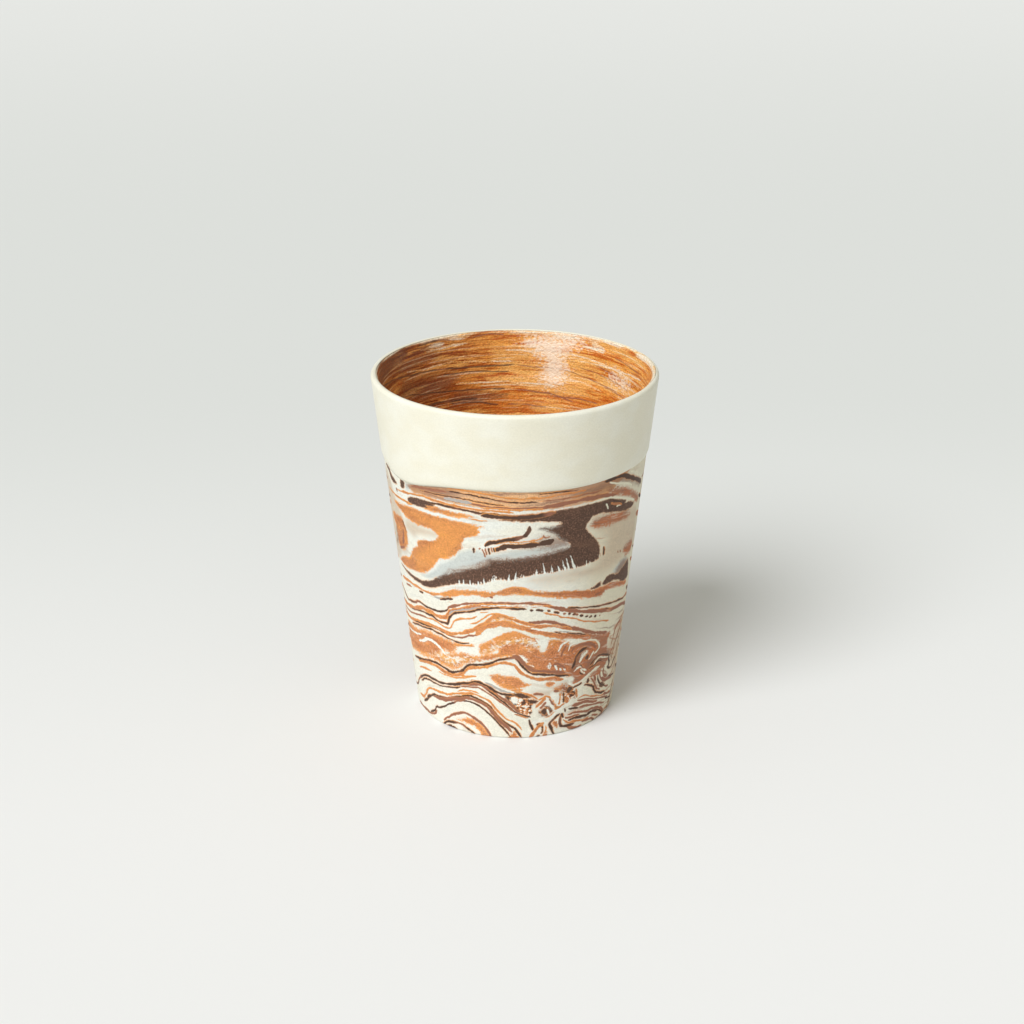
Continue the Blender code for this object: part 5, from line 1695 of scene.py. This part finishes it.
def slip_profile():
    """Over the lip, down the outside to an edge that thins out, and back up behind."""
    outer_lip = arc(LIP_CENTRE, LIP_RADIUS + COAT, SLIP_OVER_LIP, OUT_ANGLE, COAT_LIP_STEPS)
    inner_lip = arc(LIP_CENTRE, LIP_RADIUS + BOND_GAP, OUT_ANGLE, SLIP_OVER_LIP, LIP_STEPS)
    level = HEIGHT - SLIP_DEPTH
    thinning = wall_point(level + EDGE_THIN, -COAT)
    edge_out = wall_point(level, -BOND_GAP - EDGE_COAT)
    edge_in = wall_point(level, -BOND_GAP)
    outside = run(outer_lip[-1], thinning, COAT_ROW) + [thinning] + run(thinning, edge_out, EDGE_ROW)
    inside = run(edge_in, inner_lip[0], HIDDEN_ROW)
    return outer_lip + outside + [edge_out, edge_in] + inside + inner_lip


# The share of the inside's height, from the bottom up, that has wider rows
DEEP_SHARE = 0.6


def glaze_profile():
    """From the slip's edge on the lip down the back of the lining, and up its face."""
    back_lip = LIP_RADIUS + BOND_GAP
    start = SLIP_OVER_LIP + BOND_GAP / back_lip
    back = arc(LIP_CENTRE, back_lip, start, IN_ANGLE, GLAZE_LIP_STEPS)
    back_fillet = arc(FILLET_CENTRE, FILLET - BOND_GAP, OUT_ANGLE, DOWN_ANGLE, FILLET_STEPS)
    back += run(back[-1], back_fillet[0], HIDDEN_ROW) + back_fillet
    back += [Vector((0.0, FLOOR_TOP + BOND_GAP))]
    middle = Vector((0.0, FLOOR_TOP + BOND_GAP + GLAZE))
    fillet = arc(FILLET_CENTRE, FILLET - BOND_GAP - GLAZE, DOWN_ANGLE, OUT_ANGLE, GLAZE_FILLET_STEPS)
    lip = arc(LIP_CENTRE, back_lip + GLAZE, IN_ANGLE, start, GLAZE_LIP_STEPS)
    deep = fillet[-1].lerp(lip[0], DEEP_SHARE)
    face = [middle] + run(middle, fillet[0], FLOOR_ROW) + fillet
    face += run(fillet[-1], deep, DEEP_ROW) + [deep] + run(deep, lip[0], GLAZE_ROW) + lip
    return face + back


def floor_profile():
    radius = SEAT_RADIUS - BOND_GAP
    turn = radius - FLOOR_EASE
    edge = arc(Vector((turn, FLOOR_TOP - FLOOR_EASE)), FLOOR_EASE, math.pi / 2, 0.0, EASE_STEPS)
    edge += arc(Vector((turn, FLOOR_RISE + FLOOR_EASE)), FLOOR_EASE, 0.0, DOWN_ANGLE, EASE_STEPS)
    bottom = Vector((0.0, FLOOR_RISE))
    return [Vector((0.0, FLOOR_TOP))] + edge + run(edge[-1], bottom, UNDERSIDE_ROW) + [bottom]


def slip_edge_height(direction):
    """Height of the slip's lower edge, by its direction in radians from the front."""
    swing = EDGE_SWING * np.cos(direction - EDGE_SWING_CREST)
    ripple = EDGE_RIPPLE * np.cos(EDGE_RIPPLES_ROUND * (direction - EDGE_RIPPLE_CREST))
    dip = EDGE_DIP * np.exp(-(((direction - EDGE_DIP_DIRECTION) / EDGE_DIP_WIDTH) ** 2))
    return HEIGHT - SLIP_DEPTH + swing + ripple - dip


def round_points(radius, direction, height):
    return np.stack([radius * np.sin(direction), -radius * np.cos(direction), height], 1)


def let_slip_run(mesh):
    """Draws the slip's level band down to its wavy lower edge."""
    points = places(mesh)
    direction = np.radians(directions(points))
    level = HEIGHT - SLIP_DEPTH
    top = LIP_CENTRE.y
    below = points[:, 2] < top
    share = (top - points[:, 2]) / (top - level)
    drop = np.where(below, share * (slip_edge_height(direction) - level), 0.0)
    radius = np.hypot(points[:, 0], points[:, 1]) + drop * UP.x / UP.y
    move_to(mesh, round_points(radius, direction, points[:, 2] + drop))


# The slip's edge on the lip, in degrees over it, and the place where it leaves the lip bare
LIP_REACH = 122.0
LIP_BARE = 55.0
LIP_BARE_DIRECTION = math.radians(98)
LIP_BARE_WIDTH = math.radians(30)
LIP_WAVE = 3.0
LIP_WAVES_ROUND = 5.0
# Kept between the coats and the solids' box
BOX_MARGIN = 0.000002
# The end of an arc, with room for rounding
ARC_END = 1.001


def slip_lip_angle(direction):
    """How far the slip reaches over the lip, by its direction in radians from the front."""
    bare = np.exp(-(((direction - LIP_BARE_DIRECTION) / LIP_BARE_WIDTH) ** 2))
    return np.radians(LIP_REACH - LIP_BARE * bare + LIP_WAVE * np.sin(LIP_WAVES_ROUND * direction))


def move_lip_edge(mesh, held_angle, old_edge, gap):
    """Draws a coat's edge on the lip to where the slip ends, and leaves the held end of its arc in place."""
    points = places(mesh)
    direction = np.radians(directions(points))
    across = np.hypot(points[:, 0], points[:, 1]) - LIP_CENTRE.x
    rise = points[:, 2] - LIP_CENTRE.y
    angle = np.arctan2(rise, across)
    reach = np.hypot(across, rise)
    on_lip = (reach < LIP_RADIUS + 2 * COAT) & (angle > OUT_ANGLE)
    share = (angle - held_angle) / (old_edge - held_angle)
    on_lip &= (share > 0.0) & (share < ARC_END)
    new_angle = held_angle + share * (slip_lip_angle(direction) + gap - held_angle)
    radius = np.where(on_lip, LIP_CENTRE.x + reach * np.cos(new_angle), LIP_CENTRE.x + across)
    radius = np.minimum(radius, CAD_BOX[1].x - BOX_MARGIN)
    height = np.where(on_lip, LIP_CENTRE.y + reach * np.sin(new_angle), points[:, 2])
    height = np.minimum(height, HEIGHT - BOX_MARGIN)
    move_to(mesh, round_points(radius, direction, height))


CAMERA_DISTANCE = 0.58687
CAMERA_ELEVATION = math.radians(22.427)
CAMERA_PITCH = math.radians(21.754)
CAMERA_YAW = math.radians(-0.057)
CAMERA_ROLL = math.radians(0.082)
LENS = 72.07
SENSOR = 36.0
NEAR_CLIP = 0.01


def add_camera():
    lens = bpy.data.cameras.new("camera")
    lens.sensor_width = SENSOR
    lens.lens = LENS
    lens.clip_start = NEAR_CLIP
    camera = bpy.data.objects.new("camera", lens)
    flat = CAMERA_DISTANCE * math.cos(CAMERA_ELEVATION)
    rise = CAMERA_DISTANCE * math.sin(CAMERA_ELEVATION)
    camera.location = (0.0, -flat, HEIGHT / 2 + rise)
    camera.rotation_euler = (math.pi / 2 - CAMERA_PITCH, CAMERA_ROLL, -CAMERA_YAW)
    bpy.context.scene.collection.objects.link(camera)
    bpy.context.scene.camera = camera


def add_light(name, direction, elevation, strength, angle, colour):
    """A broad soft light, far off, from this direction in front of the cup. Angles are in degrees."""
    lamp = bpy.data.lights.new(name, "SUN")
    lamp.energy = strength
    lamp.color = colour
    lamp.angle = math.radians(angle)
    light = bpy.data.objects.new(name, lamp)
    turn, rise = math.radians(direction), math.radians(elevation)
    way = Vector((math.sin(turn) * math.cos(rise), -math.cos(turn) * math.cos(rise), math.sin(rise)))
    light.location = way
    light.rotation_mode = "QUATERNION"
    light.rotation_quaternion = way.to_track_quat("Z", "Y")
    bpy.context.scene.collection.objects.link(light)


NEAR_FLOOR = (0.82, 0.82, 0.80)
FAR_FLOOR = (0.685, 0.70, 0.672)
STUDIO_HALF = 6.0
# Metres behind the cup over which painted shade dims the floor, and then half of that shade is lost again
FLOOR_DIMS = (-0.12, 0.30)
FLOOR_CLEARS = (0.5, 1.6)
SKY = (1.0, 0.99, 0.90, 1.0)
SKY_STRENGTH = 0.34


def add_studio():
    floor = bpy.data.meshes.new("studio_floor")
    half = STUDIO_HALF
    corners = [(-half, -half, 0), (half, -half, 0), (half, half, 0), (-half, half, 0)]
    floor.from_pydata(corners, [], [(0, 1, 2, 3)])
    material, nodes, shader, place = new_material("studio floor")
    away = nodes.split(place)[1]
    # Painted shade: the floor darker behind the cup, lighter again far off
    far = nodes.math("MULTIPLY", nodes.ramp(away, *FLOOR_CLEARS), 0.5)
    dim = nodes.math("SUBTRACT", nodes.ramp(away, *FLOOR_DIMS), far)
    nodes.tree.links.new(nodes.mix(dim, NEAR_FLOOR, FAR_FLOOR), shader.inputs["Base Color"])
    shader.inputs["Roughness"].default_value = 0.9
    shader.inputs["Specular IOR Level"].default_value = 0.0
    floor.materials.append(material)
    stage = bpy.data.objects.new("studio_floor", floor)
    bpy.context.scene.collection.objects.link(stage)
    add_light("key", direction=-40, elevation=43, strength=2.68, angle=34, colour=(0.985, 1.0, 1.05))
    add_light("top fill", direction=0, elevation=88, strength=0.45, angle=110, colour=(1.0, 1.0, 0.97))
    world = bpy.data.worlds.new("studio")
    world.use_nodes = True
    background = world.node_tree.nodes["Background"]
    background.inputs["Color"].default_value = SKY
    background.inputs["Strength"].default_value = SKY_STRENGTH
    bpy.context.scene.world = world
    bpy.context.scene.view_settings.view_transform = "Standard"


def paint_lines(mesh, sets):
    for number, values in enumerate(sets):
        store(mesh, "lines_%d" % number, values)
    return len(sets)


def build():
    wall = turned_mesh("marbled_wall_body", wall_profile(), None, *WALL_RIDGES)
    canvas = outer_canvas(wall)
    store(wall, "flow", flow_field(canvas))
    for name, clays in PAINTED_FIELDS.items():
        store(wall, name, fuller(canvas, patch_fields(canvas, PATCHES, clays)))
    sets = stroke_sets(front_half(canvas), JOIN_STROKES)
    sets += [deeper(values) for values in stroke_sets(canvas, STROKES)]
    count = paint_lines(wall, sets)
    wall.materials.clear()
    wall.materials.append(marbled_clay(count))
    add_piece("marbled_wall_body", wall, "marbled_wall")
    slip = turned_mesh("cream_slip_coat", slip_profile(), cream_slip_coat(), *SLIP_RIDGES)
    let_slip_run(slip)
    move_lip_edge(slip, OUT_ANGLE, SLIP_OVER_LIP, 0.0)
    add_piece("cream_slip_coat", slip, "cream_slip")
    glaze = turned_mesh("inner_glaze_lining", glaze_profile(), None, *GLAZE_RIDGES)
    lip_gap = BOND_GAP / (LIP_RADIUS + BOND_GAP)
    move_lip_edge(glaze, IN_ANGLE, SLIP_OVER_LIP + lip_gap, lip_gap)
    inside = inner_canvas(glaze)
    for name, clays in INNER_FIELDS.items():
        store(glaze, name, patch_fields(inside, INNER_PATCHES, clays))
    inner_count = paint_lines(glaze, stroke_sets(inside, INNER_STROKES))
    glaze.materials.clear()
    glaze.materials.append(glaze_over_clay(inner_count))
    add_piece("inner_glaze_lining", glaze, "inner_glaze")
    disc = turned_mesh("floor_disc_trimmed", floor_profile(), bare_clay(), *FLOOR_RIDGES)
    add_piece("floor_disc_trimmed", disc, "floor_disc")
    add_camera()
    add_studio()


build()
